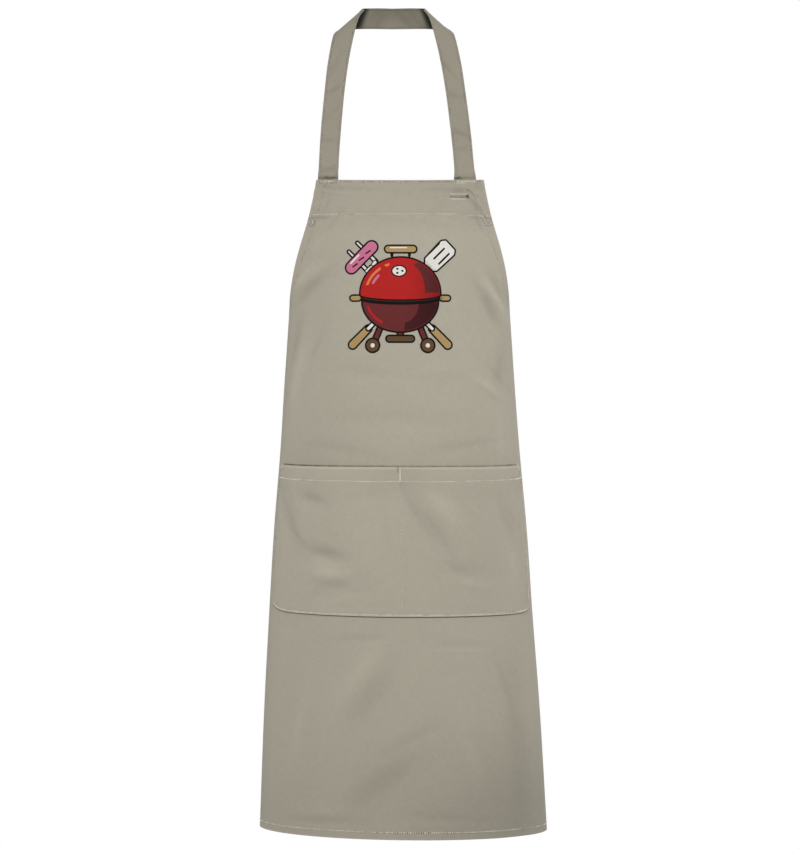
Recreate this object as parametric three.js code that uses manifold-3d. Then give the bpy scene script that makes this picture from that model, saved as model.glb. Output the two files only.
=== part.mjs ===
// Cotton bib apron for barbecue cooks, in the form that it has on its wearer.
// One wide cloth panel with a turned-down band at the top of the bib and narrow sewn hems, a neck
// strap sewn behind the bib, a belly pocket in two halves, and waist ties knotted behind the back.
// Millimetres, +Z up, and the wearer faces -Y. The origin is where the neck carries the strap: the
// middle of the strap's back run, on the face that touches the neck.

import * as THREE from "three";
import Module from "manifold-3d";

const wasm = await Module();
wasm.setup();

// The panel as it is cut, measured flat
const APRON_LENGTH = 905; // bib's top edge to the bottom edge
const BIB_HALF_WIDTH = 118; // middle line to a corner of the bib
const WAIST_HALF_WIDTH = 345; // middle line to a corner that holds a tie
const HEM_HALF_WIDTH = 365; // middle line to a bottom corner
const WAIST_DROP = 300; // bib's top edge down to the waist corners
const BAND_DEPTH = 49; // turned-down band at the top of the bib
const EDGE_HEM = 14.5; // turned hem along armholes and sides
const BOTTOM_HEM = 12; // turned hem along the bottom

// Walls
const CLOTH = 1.2;
const HEM_CLOTH = 1.2;
const STRAP_CLOTH = 1.4;
const GAP = 0.3;

// How the cloth hangs round the wearer
const NECK_DROP = 245; // nape down to the bib's top edge
const WORN_HALF_WIDTH = 202.5; // of the bottom edge, seen from the front
const WORN_DEPTH = 116; // of the bottom edge, from its front to its sides
const FRONT_DISTANCE = 180; // nape forward to the front of the bottom edge
const HANG_SHIFT = 9; // nape to the apron's middle line, sideways
const HEM_TILT = 2.5; // how far the hem's right side hangs below its middle
const TOP_SAG = 2.5; // how far the bib's top edge hangs down in its middle
const SAG_DEPTH = 100; // how far down the bib the sag reaches

// Neck strap
const STRAP_WIDTH = 29.5;
const STRAP_SEAT = 97.5; // from midway between the strap's ends to each, along the bib's top edge
const STRAP_SEAT_SHIFT = -5; // from the apron's middle line to midway between the strap's ends
const STRAP_TUCK = 22; // how far the ends reach down behind the bib

// Pocket
const POCKET_DROP = 396; // bib's top edge down to the pocket's mouth
const POCKET_DEPTH = 205;
const POCKET_HALF_WIDTH = 205;
const POCKET_HEM = 19.5;
const POCKET_GAPE = 16; // how far each half stands open at its mouth
const GAPE_SLACKNESS = 1.3; // 1 for a gape that closes evenly down to the bottom, more for a quicker one
const GAPE_FULLNESS = 0.7; // 1 for a gape that is round from seam to seam, less for a boxier one
const DENT_FADING = 0.3; // 0 for dents as deep at the bottom as at the mouth

// Buttonhole
const BUTTONHOLE_LENGTH = 25;
const BUTTONHOLE_SLIT = 1.6;
const BUTTONHOLE_ACROSS = 83; // from the middle line
const BUTTONHOLE_DROP = 23; // below the bib's top edge
const CUTTER_DEPTH = 14; // of the block that cuts the slit, more than the bib's layers

// Waist ties and their bow
const TIE_WIDTH = 25;
const TIE_CLOTH = 1.2;
const TIE_TUCK = 32; // how far a tie reaches in behind the waist corner
const TIE_INSET = 3; // waist corner down to the tie's upper edge
const KNOT_WIDTH = 22;
const KNOT_THICKNESS = 13;
const KNOT_CORNER = 4;
const KNOT_MARGIN = 1; // how far the knot reaches above and below a tie's width
const LOOP_LENGTH = 108;
const LOOP_THICKNESS = 24;
const LOOP_DROOP = 24; // degrees below level
const LOOP_STAND = 12; // how far the loops' ends stand off the wearer's back
const TAIL_LENGTH = 430;
const TAIL_SPLAY = 5; // degrees out from straight down

// Folds
const FOLD_LENGTH = 100;
const FOLD_WIDTH = 30;
const FOLD_HEIGHT = 4;

// Fineness of the faceted cloth
const ROW_STEP = 22;
const COLUMN_STEP = 20;
const POCKET_ROW_STEP = 21;
const POCKET_SEAM_SHARE = 0.03; // least width of the facets beside a pocket seam, in pocket half widths
const CORNER_LIMIT = 0.9; // most of a row that the pocket's bottom edge may rise
const ARC_STEPS = 240;
const STRAP_STEPS = 3; // facets between two rows of the strap's table
const LOOP_STEPS = 16;
const TAIL_STEPS = 10;
const KNOT_CORNER_STEPS = 3;

const CLOTH_COLOUR = 0xa8a294;
const SHADED_CLOTH_COLOUR = 0x9b9585;

// Round sections of the worn panel, from the bib's top to the bottom edge.
// down is a share of APRON_LENGTH, width of WORN_HALF_WIDTH, depth of WORN_DEPTH, reach of
// FRONT_DISTANCE and shift of HANG_SHIFT.
const SECTIONS = [
  { down: 0.0, width: 0.76, depth: 0.517, reach: 0.906, shift: 1.0 },
  { down: 0.1, width: 0.76, depth: 0.69, reach: 0.933, shift: 1.0 },
  { down: 0.178, width: 0.763, depth: 0.819, reach: 0.944, shift: 0.93 },
  { down: 0.225, width: 0.775, depth: 0.836, reach: 0.939, shift: 0.93 },
  { down: 0.318, width: 0.803, depth: 0.836, reach: 0.928, shift: 0.93 },
  { down: 0.412, width: 0.832, depth: 0.862, reach: 0.933, shift: 1.0 },
  { down: 0.537, width: 0.88, depth: 0.905, reach: 0.956, shift: 1.07 },
  { down: 0.661, width: 0.915, depth: 0.931, reach: 0.972, shift: 1.13 },
  { down: 0.817, width: 0.96, depth: 0.966, reach: 0.989, shift: 1.32 },
  { down: 1.0, width: 1.0, depth: 1.0, reach: 1.0, shift: 1.53 },
];

// The armhole's cut, from the bib's corner to the waist corner.
// down is a share of WAIST_DROP, out of the way from BIB_HALF_WIDTH to WAIST_HALF_WIDTH.
const ARMHOLE = [
  { down: 0.0, out: 0.0 },
  { down: 0.1, out: 0.032 },
  { down: 0.2, out: 0.077 },
  { down: 0.3, out: 0.14 },
  { down: 0.4, out: 0.212 },
  { down: 0.5, out: 0.292 },
  { down: 0.6, out: 0.39 },
  { down: 0.7, out: 0.505 },
  { down: 0.8, out: 0.64 },
  { down: 0.9, out: 0.8 },
  { down: 1.0, out: 1.0 },
];

// The pocket's side seams, from its mouth to its bottom.
// down is a share of POCKET_DEPTH, out of POCKET_HALF_WIDTH.
const POCKET_SIDES = [
  { down: 0.0, out: 0.9 },
  { down: 0.12, out: 0.945 },
  { down: 0.3, out: 0.985 },
  { down: 0.7, out: 1.0 },
  { down: 1.0, out: 1.0 },
];

// How far the pocket's bottom edge rises towards its corners.
// out is a share of the pocket's half width and rise of POCKET_DEPTH.
const POCKET_CORNERS = [
  { out: -1.0, rise: 0.067 },
  { out: -0.89, rise: 0.031 },
  { out: -0.7, rise: 0.016 },
  { out: -0.4, rise: 0.006 },
  { out: 0.0, rise: 0.0 },
  { out: 0.74, rise: 0.006 },
  { out: 0.9, rise: 0.014 },
  { out: 1.0, rise: 0.034 },
];

// Folds of the panel, ridges above 0 and valleys below.
// across is a share of HEM_HALF_WIDTH, down of APRON_LENGTH, turn in degrees from level towards
// the hem, length of FOLD_LENGTH, width of FOLD_WIDTH and height of FOLD_HEIGHT.
const PANEL_FOLDS = [
  { across: -0.4, down: 0.152, turn: -34, length: 0.6, width: 0.5, height: 0.9 },
  { across: -0.364, down: 0.166, turn: -35, length: 0.8, width: 0.5, height: -0.8 },
  { across: 0.4, down: 0.183, turn: 49, length: 0.75, width: 0.45, height: 1.0 },
  { across: 0.37, down: 0.198, turn: 52, length: 0.75, width: 0.5, height: -1.0 },
  { across: 0.415, down: 0.165, turn: 42, length: 0.55, width: 0.4, height: -0.6 },
  { across: -0.45, down: 0.245, turn: -71, length: 0.75, width: 0.7, height: -0.7 },
  { across: -0.43, down: 0.306, turn: -74, length: 1.0, width: 0.8, height: 0.7 },
  { across: 0.422, down: 0.29, turn: -80, length: 0.6, width: 0.8, height: -0.75 },
  { across: 0.36, down: 0.317, turn: 29, length: 0.5, width: 0.5, height: 0.4 },
  { across: -0.165, down: 0.758, turn: -53, length: 1.1, width: 1.0, height: 0.6 },
  { across: -0.12, down: 0.788, turn: -53, length: 1.0, width: 1.0, height: -0.6 },
  { across: -0.077, down: 0.919, turn: -39, length: 1.3, width: 1.2, height: -0.75 },
  { across: 0.47, down: 0.86, turn: 88, length: 2.6, width: 1.4, height: -0.7 },
];

// Dents and swellings of the pocket, with the panel's columns.
const POCKET_FOLDS = [
  { across: -0.46, down: 0.5, turn: 75, length: 0.8, width: 0.6, height: -0.9 },
  { across: -0.329, down: 0.49, turn: 20, length: 0.4, width: 0.7, height: -0.8 },
  { across: -0.28, down: 0.572, turn: 10, length: 0.5, width: 0.6, height: -0.9 },
  { across: -0.282, down: 0.603, turn: 5, length: 0.6, width: 0.7, height: 0.8 },
  { across: -0.252, down: 0.625, turn: -21, length: 0.8, width: 0.6, height: -0.7 },
  { across: 0.1, down: 0.535, turn: 55, length: 1.3, width: 0.7, height: -1.1 },
  { across: 0.155, down: 0.505, turn: 46, length: 0.8, width: 0.9, height: 0.8 },
  { across: 0.25, down: 0.597, turn: 8, length: 0.7, width: 0.6, height: -0.7 },
  { across: 0.435, down: 0.526, turn: 70, length: 0.6, width: 0.8, height: -0.9 },
  { across: 0.46, down: 0.6, turn: 80, length: 0.6, width: 0.7, height: 0.7 },
];

// The neck strap from the nape to just above the bib, for one side.
// out, forward and down place the strap's middle, as shares of its seat behind the bib.
// ruleX, ruleY and ruleZ run from its outer edge to its inner one, in strap widths: the rules lie
// slantwise where the strap turns over the shoulder.
const STRAP_ROWS = [
  { out: 0.0, forward: 0.0, down: 0.0, ruleX: 0.0, ruleY: 0.0, ruleZ: 1.0 },
  { out: 0.286, forward: 0.037, down: 0.0015, ruleX: -0.2, ruleY: 0.03, ruleZ: 1.01 },
  { out: 0.508, forward: 0.157, down: 0.015, ruleX: -0.54, ruleY: 0.24, ruleZ: 1.04 },
  { out: 0.628, forward: 0.335, down: 0.04, ruleX: -1.02, ruleY: 0.41, ruleZ: 1.1 },
  { out: 0.655, forward: 0.44, down: 0.057, ruleX: -1.36, ruleY: 0.41, ruleZ: 1.14 },
  { out: 0.71, forward: 0.51, down: 0.097, ruleX: -1.25, ruleY: 0.37, ruleZ: 1.06 },
  { out: 0.814, forward: 0.635, down: 0.275, ruleX: -1.08, ruleY: 0.26, ruleZ: 0.64 },
  { out: 0.892, forward: 0.765, down: 0.496, ruleX: -0.98, ruleY: 0.22, ruleZ: 0.4 },
  { out: 0.959, forward: 0.892, down: 0.761, ruleX: -0.94, ruleY: 0.25, ruleZ: 0.17 },
];

/** Smooth value of a column at a place between a table's rows, by cubic pieces through the rows. */
function smooth(table, key, column, at) {
  const last = table.length - 2;
  let row = table.findIndex((entry) => entry[key] > at) - 1;
  row = row < 0 ? (at <= table[0][key] ? 0 : last) : row;
  const slope = (k) => {
    const before = table[Math.max(k - 1, 0)];
    const after = table[Math.min(k + 1, table.length - 1)];
    return (after[column] - before[column]) / (after[key] - before[key]);
  };
  const from = table[row];
  const to = table[row + 1];
  const span = to[key] - from[key];
  const t = (at - from[key]) / span;
  const ease = t * t * (3 - 2 * t);
  const rise = span * (slope(row) * t * (1 - t) ** 2 - slope(row + 1) * t * t * (1 - t));
  return from[column] + (to[column] - from[column]) * ease + rise;
}

/** Half width of the cut panel at a distance below the bib's top edge. */
function panelHalfWidth(down) {
  if (down < WAIST_DROP) {
    const out = smooth(ARMHOLE, "down", "out", Math.max(down, 0) / WAIST_DROP);
    return BIB_HALF_WIDTH + (WAIST_HALF_WIDTH - BIB_HALF_WIDTH) * out;
  }
  const share = (down - WAIST_DROP) / (APRON_LENGTH - WAIST_DROP);
  return WAIST_HALF_WIDTH + (HEM_HALF_WIDTH - WAIST_HALF_WIDTH) * share;
}

/** Half width of the pocket at a distance below its mouth. */
function pocketHalfWidth(below) {
  return POCKET_HALF_WIDTH * smooth(POCKET_SIDES, "down", "out", below / POCKET_DEPTH);
}

const knownSections = new Map();

/** Ellipse that the worn cloth follows at a height, with the cloth's length along it from the front. */
function sectionAt(down) {
  if (!knownSections.has(down)) {
    const share = down / APRON_LENGTH;
    const halfWidth = WORN_HALF_WIDTH * smooth(SECTIONS, "down", "width", share);
    const depth = WORN_DEPTH * smooth(SECTIONS, "down", "depth", share);
    const front = -FRONT_DISTANCE * smooth(SECTIONS, "down", "reach", share);
    const middle = HANG_SHIFT * smooth(SECTIONS, "down", "shift", share);
    const lengths = [0];
    for (let k = 0; k < ARC_STEPS; k += 1) {
      const angle = (Math.PI * (k + 0.5)) / ARC_STEPS;
      const speed = Math.hypot(halfWidth * Math.cos(angle), depth * Math.sin(angle));
      lengths.push(lengths[k] + (speed * Math.PI) / ARC_STEPS);
    }
    knownSections.set(down, { halfWidth, depth, front, middle, lengths });
  }
  return knownSections.get(down);
}

/** Angle round a section, from the middle of its front, of cloth that lies a distance across. */
function angleAt(section, across) {
  const length = Math.abs(across);
  const { lengths } = section;
  const past = lengths.findIndex((value) => value > length);
  const after = past < 0 ? ARC_STEPS : past;
  const part = (length - lengths[after - 1]) / (lengths[after] - lengths[after - 1]);
  return (Math.sign(across) * Math.PI * (after - 1 + part)) / ARC_STEPS;
}

/** Height of all folds of a table at a place on the cloth, each a long soft hump or hollow. */
function foldHeight(folds, across, down) {
  let height = 0;
  for (const fold of folds) {
    const turn = THREE.MathUtils.degToRad(fold.turn);
    const x = across - fold.across * HEM_HALF_WIDTH;
    const y = down - fold.down * APRON_LENGTH;
    const along = (x * Math.cos(turn) + y * Math.sin(turn)) / ((fold.length * FOLD_LENGTH) / 2);
    const over = (y * Math.cos(turn) - x * Math.sin(turn)) / ((fold.width * FOLD_WIDTH) / 2);
    height += fold.height * FOLD_HEIGHT * Math.exp(-along * along - over * over);
  }
  return height;
}

/** How much lower a place on the bib hangs than the corners: most at the middle of its top edge. */
function sagAt(across, down) {
  const side = Math.max(0, 1 - (across / BIB_HALF_WIDTH) ** 2);
  return TOP_SAG * side * Math.max(0, 1 - down / SAG_DEPTH) ** 2;
}

/** Point of the worn apron, from its place on the cut cloth and its height over the outer face. */
function wornPoint(across, down, lift) {
  const section = sectionAt(down);
  const angle = angleAt(section, across);
  const sine = Math.sin(angle);
  const cosine = Math.cos(angle);
  const size = Math.hypot(section.depth * sine, section.halfWidth * cosine);
  const stand = (lift + foldHeight(PANEL_FOLDS, across, down)) / size;
  return new THREE.Vector3(
    section.middle + section.halfWidth * sine + stand * section.depth * sine,
    section.front + section.depth * (1 - cosine) - stand * section.halfWidth * cosine,
    -NECK_DROP - down - sagAt(across, down) - HEM_TILT * sine * (down / APRON_LENGTH) ** 2,
  );
}

/** Even places from one value to another, no further apart than a step, without the last. */
function spaced(from, to, step) {
  const count = Math.max(1, Math.ceil((to - from) / step));
  return Array.from({ length: count }, (_, k) => from + ((to - from) * k) / count);
}

/** Closed solid between two grids of points that have the same rows and columns. */
function slab(outer, inner) {
  const columns = outer[0].length;
  const last = outer.length - 1;
  const count = outer.length * columns;
  const index = [];
  const quad = (a, b, c, d) => index.push(a, b, c, a, c, d);
  for (let row = 0; row < last; row += 1) {
    for (let column = 0; column + 1 < columns; column += 1) {
      const a = row * columns + column;
      const b = a + count;
      quad(a, a + 1, a + columns + 1, a + columns);
      quad(b, b + columns, b + columns + 1, b + 1);
    }
  }
  const rim = [];
  for (let column = 0; column + 1 < columns; column += 1) rim.push(column);
  for (let row = 0; row < last; row += 1) rim.push(row * columns + columns - 1);
  for (let column = columns - 1; column > 0; column -= 1) rim.push(last * columns + column);
  for (let row = last; row > 0; row -= 1) rim.push(row * columns);
  rim.forEach((from, k) => {
    const to = rim[(k + 1) % rim.length];
    quad(to, from, from + count, to + count);
  });
  return facingOut(new THREE.BufferGeometry().setFromPoints([...outer.flat(), ...inner.flat()]), index);
}

/** Geometry with an index whose triangles are turned so that the solid's volume is above 0. */
function facingOut(geometry, index) {
  const place = geometry.getAttribute("position");
  const [a, b, c] = [new THREE.Vector3(), new THREE.Vector3(), new THREE.Vector3()];
  let volume = 0;
  for (let k = 0; k < index.length; k += 3) {
    a.fromBufferAttribute(place, index[k]);
    b.fromBufferAttribute(place, index[k + 1]);
    c.fromBufferAttribute(place, index[k + 2]);
    volume += a.dot(b.cross(c));
  }
  geometry.setIndex(volume > 0 ? index : index.reverse());
  return geometry;
}

/** Slab of cloth over rows and columns of the cut panel, between two heights over its outer face. */
function clothSlab(downs, acrossAt, upper, lower) {
  const grid = (lift) =>
    downs.map((down) => acrossAt(down).map((across) => wornPoint(across, down, lift(across, down))));
  return slab(grid(upper), grid(lower));
}

/** A library solid made from an indexed geometry. */
function toSolid(geometry) {
  const vertProperties = new Float32Array(geometry.getAttribute("position").array);
  const triVerts = new Uint32Array(geometry.getIndex().array);
  return new wasm.Manifold(new wasm.Mesh({ numProp: 3, vertProperties, triVerts }));
}

/** A geometry made from a library solid. */
function toGeometry(solid) {
  const { vertProperties, triVerts } = solid.getMesh();
  const geometry = new THREE.BufferGeometry();
  geometry.setAttribute("position", new THREE.BufferAttribute(vertProperties, 3));
  geometry.setIndex(new THREE.BufferAttribute(triVerts, 1));
  return geometry;
}

const POCKET_BOTTOM = POCKET_DROP + POCKET_DEPTH;
const HEM_LINE = APRON_LENGTH - BOTTOM_HEM;
const COLUMNS = Math.ceil((HEM_HALF_WIDTH - EDGE_HEM) / COLUMN_STEP);
const PANEL_ROWS = [
  ...spaced(0, BAND_DEPTH, ROW_STEP),
  ...spaced(BAND_DEPTH, WAIST_DROP, ROW_STEP),
  ...spaced(WAIST_DROP, POCKET_DROP, ROW_STEP),
  ...spaced(POCKET_DROP, POCKET_DROP + POCKET_HEM, POCKET_ROW_STEP),
  ...spaced(POCKET_DROP + POCKET_HEM, POCKET_BOTTOM, POCKET_ROW_STEP),
  ...spaced(POCKET_BOTTOM, HEM_LINE, ROW_STEP),
  HEM_LINE,
  APRON_LENGTH,
];

/** Places across the cloth between the side hems, from left to right. */
function columnsInside(down) {
  const inside = panelHalfWidth(down) - EDGE_HEM;
  return Array.from({ length: 2 * COLUMNS + 1 }, (_, k) => (inside * (k - COLUMNS)) / COLUMNS);
}

/** Places across the cloth from edge to edge. */
function columnsToEdges(down) {
  const edge = panelHalfWidth(down);
  return [-edge, ...columnsInside(down), edge];
}

/** Buttonhole cutter: a flat block through the bib, level along the cloth. */
function buttonholeCutter() {
  const left = wornPoint(BUTTONHOLE_ACROSS - BUTTONHOLE_LENGTH / 2, BUTTONHOLE_DROP, 0);
  const right = wornPoint(BUTTONHOLE_ACROSS + BUTTONHOLE_LENGTH / 2, BUTTONHOLE_DROP, 0);
  const block = new THREE.BoxGeometry(left.distanceTo(right), CUTTER_DEPTH, BUTTONHOLE_SLIT);
  block.rotateZ(Math.atan2(right.y - left.y, right.x - left.x));
  const middle = left.lerp(right, 0.5);
  block.translate(middle.x, middle.y, middle.z);
  const place = block.getAttribute("position");
  const corners = new Map();
  const points = [];
  const index = Array.from(block.getIndex().array, (k) => {
    const point = new THREE.Vector3().fromBufferAttribute(place, k);
    const key = point.toArray().map((value) => value.toFixed(4)).join();
    if (!corners.has(key)) {
      corners.set(key, points.length);
      points.push(point);
    }
    return corners.get(key);
  });
  return toSolid(facingOut(new THREE.BufferGeometry().setFromPoints(points), index));
}

/** The geometry with the buttonhole cut through it. */
function withButtonhole(geometry) {
  return toGeometry(toSolid(geometry).subtract(buttonholeCutter()));
}

/** The apron's panel: bib, body and skirt in one wide piece of cloth. */
function apronPanel() {
  return withButtonhole(clothSlab(PANEL_ROWS, columnsToEdges, () => 0, () => -CLOTH));
}

const HEM_UPPER = -CLOTH - GAP;
const HEM_LOWER = HEM_UPPER - HEM_CLOTH;

/** Turned cloth that lies against the panel's inner face. */
function turnedCloth(downs, acrossAt) {
  return clothSlab(downs, acrossAt, () => HEM_UPPER, () => HEM_LOWER);
}

/** The band at the top of the bib, turned down inside and sewn along its lower edge. */
function topBand() {
  const downs = PANEL_ROWS.filter((down) => down <= BAND_DEPTH);
  const acrossAt = (down) => {
    const inside = columnsInside(down);
    inside[0] += GAP;
    inside[inside.length - 1] -= GAP;
    return inside;
  };
  return withButtonhole(turnedCloth(downs, acrossAt));
}

/** A narrow hem along one edge, between two heights. */
function edgeHem(side, from, to) {
  const between = PANEL_ROWS.filter((down) => down > from && down < to);
  const acrossAt = (down) => {
    const edge = panelHalfWidth(down);
    return [side * (edge - EDGE_HEM), side * edge];
  };
  return turnedCloth([from, ...between, to], acrossAt);
}

/** The hem along the bottom edge. */
function bottomHem() {
  return turnedCloth([HEM_LINE, APRON_LENGTH], columnsToEdges);
}

/** Pocket's places across at a height: the panel's columns, drawn in beside its own side seams. */
function pocketColumns(down) {
  const edge = pocketHalfWidth(Math.min(Math.max(down - POCKET_DROP, 0), POCKET_DEPTH));
  const columns = Math.floor((COLUMNS * POCKET_HALF_WIDTH) / (panelHalfWidth(POCKET_DROP) - EDGE_HEM));
  const step = (panelHalfWidth(down) - EDGE_HEM) / COLUMNS;
  const half = Array.from({ length: columns }, (_, k) => {
    const limit = edge * (1 - POCKET_SEAM_SHARE * (columns - k));
    return Math.min((k + 1) * step, limit);
  });
  return [-edge, ...half.map((across) => -across).reverse(), 0, ...half, edge];
}

/** Height of the pocket's inner face: sewn down at its rim and its middle line, full between. */
function pocketLift(across, down) {
  const below = (down - POCKET_DROP) / POCKET_DEPTH;
  const edge = pocketHalfWidth(Math.min(Math.max(below, 0), 1) * POCKET_DEPTH);
  const half = Math.min(Math.abs(across) / edge, 1);
  const seat = down - POCKET_DROP < POCKET_HEM + GAP ? 2 * GAP + HEM_CLOTH : GAP;
  const bulge = Math.sin(Math.PI * half) ** GAPE_FULLNESS;
  const open = Math.max(1 - below, 0);
  const dents = foldHeight(POCKET_FOLDS, across, down) * open ** DENT_FADING;
  return seat + Math.max(bulge * (POCKET_GAPE * open ** GAPE_SLACKNESS + dents), 0);
}

const POCKET_ROWS = PANEL_ROWS.filter((down) => down >= POCKET_DROP && down <= POCKET_BOTTOM);

/** Points of the pocket's cloth at a height over its inner face, with the bottom edge's own line. */
function pocketGrid(height) {
  const grid = POCKET_ROWS.map((down) =>
    pocketColumns(down).map((across) => wornPoint(across, down, pocketLift(across, down) + height)),
  );
  const bottom = grid.at(-1);
  const above = grid.at(-2);
  const step = POCKET_BOTTOM - POCKET_ROWS.at(-2);
  pocketColumns(POCKET_BOTTOM).forEach((across, k) => {
    const out = across / pocketHalfWidth(POCKET_DEPTH);
    const rise = POCKET_DEPTH * smooth(POCKET_CORNERS, "out", "rise", out);
    bottom[k].lerp(above[k], Math.min(rise / step, CORNER_LIMIT));
  });
  return grid;
}

/** The pocket's cloth. */
function pocket() {
  return slab(pocketGrid(CLOTH), pocketGrid(0));
}

/** The hem turned in along the pocket's mouth. */
function pocketHem() {
  const downs = POCKET_ROWS.filter((down) => down <= POCKET_DROP + POCKET_HEM);
  return clothSlab(
    downs,
    pocketColumns,
    (across, down) => pocketLift(across, down) - GAP,
    (across, down) => pocketLift(across, down) - GAP - HEM_CLOTH,
  );
}

const STRAP_LIFT = HEM_LOWER - GAP; // outer face of the strap's ends, behind the band

/** Where the strap's end crosses the bib's top edge, on the strap's inner face. */
function strapSeat(side, down, acrossStrap) {
  const across = STRAP_SEAT_SHIFT + side * (STRAP_SEAT - acrossStrap * STRAP_WIDTH);
  return wornPoint(across, down, STRAP_LIFT - STRAP_CLOTH);
}

/** Rules across one side of the strap's inner face, from the nape to the end behind the bib. */
function strapRules(side) {
  const seat = strapSeat(side, 0, 0);
  const other = strapSeat(-side, 0, 0);
  const spread = Math.abs(seat.x - other.x) / 2;
  const drift = (seat.x + other.x) / 2;
  const rows = STRAP_ROWS.map((row) => {
    const middle = new THREE.Vector3(
      side * row.out * spread + row.down * drift,
      row.forward * seat.y,
      row.down * seat.z,
    );
    const rule = new THREE.Vector3(side * row.ruleX, row.ruleY, row.ruleZ).multiplyScalar(STRAP_WIDTH);
    return [middle.clone().addScaledVector(rule, -0.5), middle.clone().addScaledVector(rule, 0.5)];
  });
  rows.push([strapSeat(side, 0, -0.5), strapSeat(side, 0, 0.5)]);
  const edges = [0, 1].map((edge) => new THREE.CatmullRomCurve3(rows.map((row) => row[edge])));
  const steps = (rows.length - 1) * STRAP_STEPS;
  const rules = Array.from({ length: steps }, (_, k) => edges.map((edge) => edge.getPoint(k / steps)));
  rules.push([strapSeat(side, 0, -0.5), strapSeat(side, 0, 0.5)]);
  rules.push([strapSeat(side, STRAP_TUCK, -0.5), strapSeat(side, STRAP_TUCK, 0.5)]);
  return rules;
}

/** The neck strap: one band over both shoulders and round the nape. */
function neckStrap() {
  const rules = [...strapRules(-1).slice(1).reverse(), ...strapRules(1)];
  const inner = rules.map(([low, high]) => [low, low.clone().lerp(high, 0.5), high]);
  const outer = inner.map((points, k) => {
    const before = inner[Math.max(k - 1, 0)];
    const after = inner[Math.min(k + 1, inner.length - 1)];
    return points.map((point, column) => {
      const along = after[column].clone().sub(before[column]);
      const across = points[2].clone().sub(points[0]);
      const out = across.cross(along).normalize();
      return point.clone().addScaledVector(out, STRAP_CLOTH);
    });
  });
  return slab(outer, inner);
}

const TIE_LIFT = HEM_LOWER - GAP; // outer face of a tie, behind the side hem
const TIE_TOP = WAIST_DROP + TIE_INSET;

/** A waist tie from its seam behind the waist corner to the knot. */
function waistTie(side) {
  const back = sectionAt(TIE_TOP).lengths[ARC_STEPS];
  const end = back - KNOT_WIDTH / 2 - GAP;
  const shares = [...spaced(0, 1, COLUMN_STEP / (end - WAIST_HALF_WIDTH)), 1];
  const acrossAt = (down) => {
    const edge = panelHalfWidth(down);
    const free = shares.map((share) => edge + (end - edge) * share);
    return [edge - TIE_TUCK, edge - EDGE_HEM, ...free].map((place) => side * place);
  };
  return clothSlab(
    [TIE_TOP, TIE_TOP + TIE_WIDTH],
    acrossAt,
    () => TIE_LIFT,
    () => TIE_LIFT - TIE_CLOTH,
  );
}

/** A band of cloth along a curve, its width along a given direction. */
function band(points, widthways, width, thickness) {
  const half = widthways.clone().multiplyScalar(width / 2);
  const edges = (lift) =>
    points.map((point, k) => {
      const along = points[Math.min(k + 1, points.length - 1)].clone().sub(points[Math.max(k - 1, 0)]);
      const out = widthways.clone().cross(along).normalize().multiplyScalar(lift);
      return [point.clone().add(out).sub(half), point.clone().add(out).add(half)];
    });
  return slab(edges(thickness / 2), edges(-thickness / 2));
}

/** One loop of the bow: out from the knot, round and back into it. */
function bowLoop(centre, side) {
  const droop = THREE.MathUtils.degToRad(LOOP_DROOP);
  const outward = new THREE.Vector3(side * Math.cos(droop), 0, -Math.sin(droop));
  const widthways = new THREE.Vector3(side * Math.sin(droop), 0, Math.cos(droop));
  const points = Array.from({ length: LOOP_STEPS + 1 }, (_, k) => {
    const turn = (2 * Math.PI * k) / LOOP_STEPS;
    const reach = (LOOP_LENGTH * (1 - Math.cos(turn))) / 2;
    const swell = (LOOP_THICKNESS / 2) * Math.sin(turn) * Math.sin(turn / 2);
    const stand = LOOP_STAND * Math.sin(turn / 2);
    return centre.clone().addScaledVector(outward, reach).add(new THREE.Vector3(0, swell + stand, 0));
  });
  points[0].y -= TIE_CLOTH;
  points[LOOP_STEPS].y += TIE_CLOTH;
  return toSolid(band(points, widthways, TIE_WIDTH, TIE_CLOTH));
}

/** One tail of the bow, hanging from the knot. */
function bowTail(centre, side) {
  const splay = THREE.MathUtils.degToRad(TAIL_SPLAY);
  const downward = new THREE.Vector3(side * Math.sin(splay), 0, -Math.cos(splay));
  const widthways = new THREE.Vector3(Math.cos(splay), 0, side * Math.sin(splay));
  const points = Array.from({ length: TAIL_STEPS + 1 }, (_, k) => {
    const share = k / TAIL_STEPS;
    const sway = (KNOT_THICKNESS / 4) * side * (1 + Math.sin(Math.PI * share));
    return centre.clone().addScaledVector(downward, TAIL_LENGTH * share).add(new THREE.Vector3(0, sway, 0));
  });
  return toSolid(band(points, widthways, TIE_WIDTH, TIE_CLOTH));
}

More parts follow.
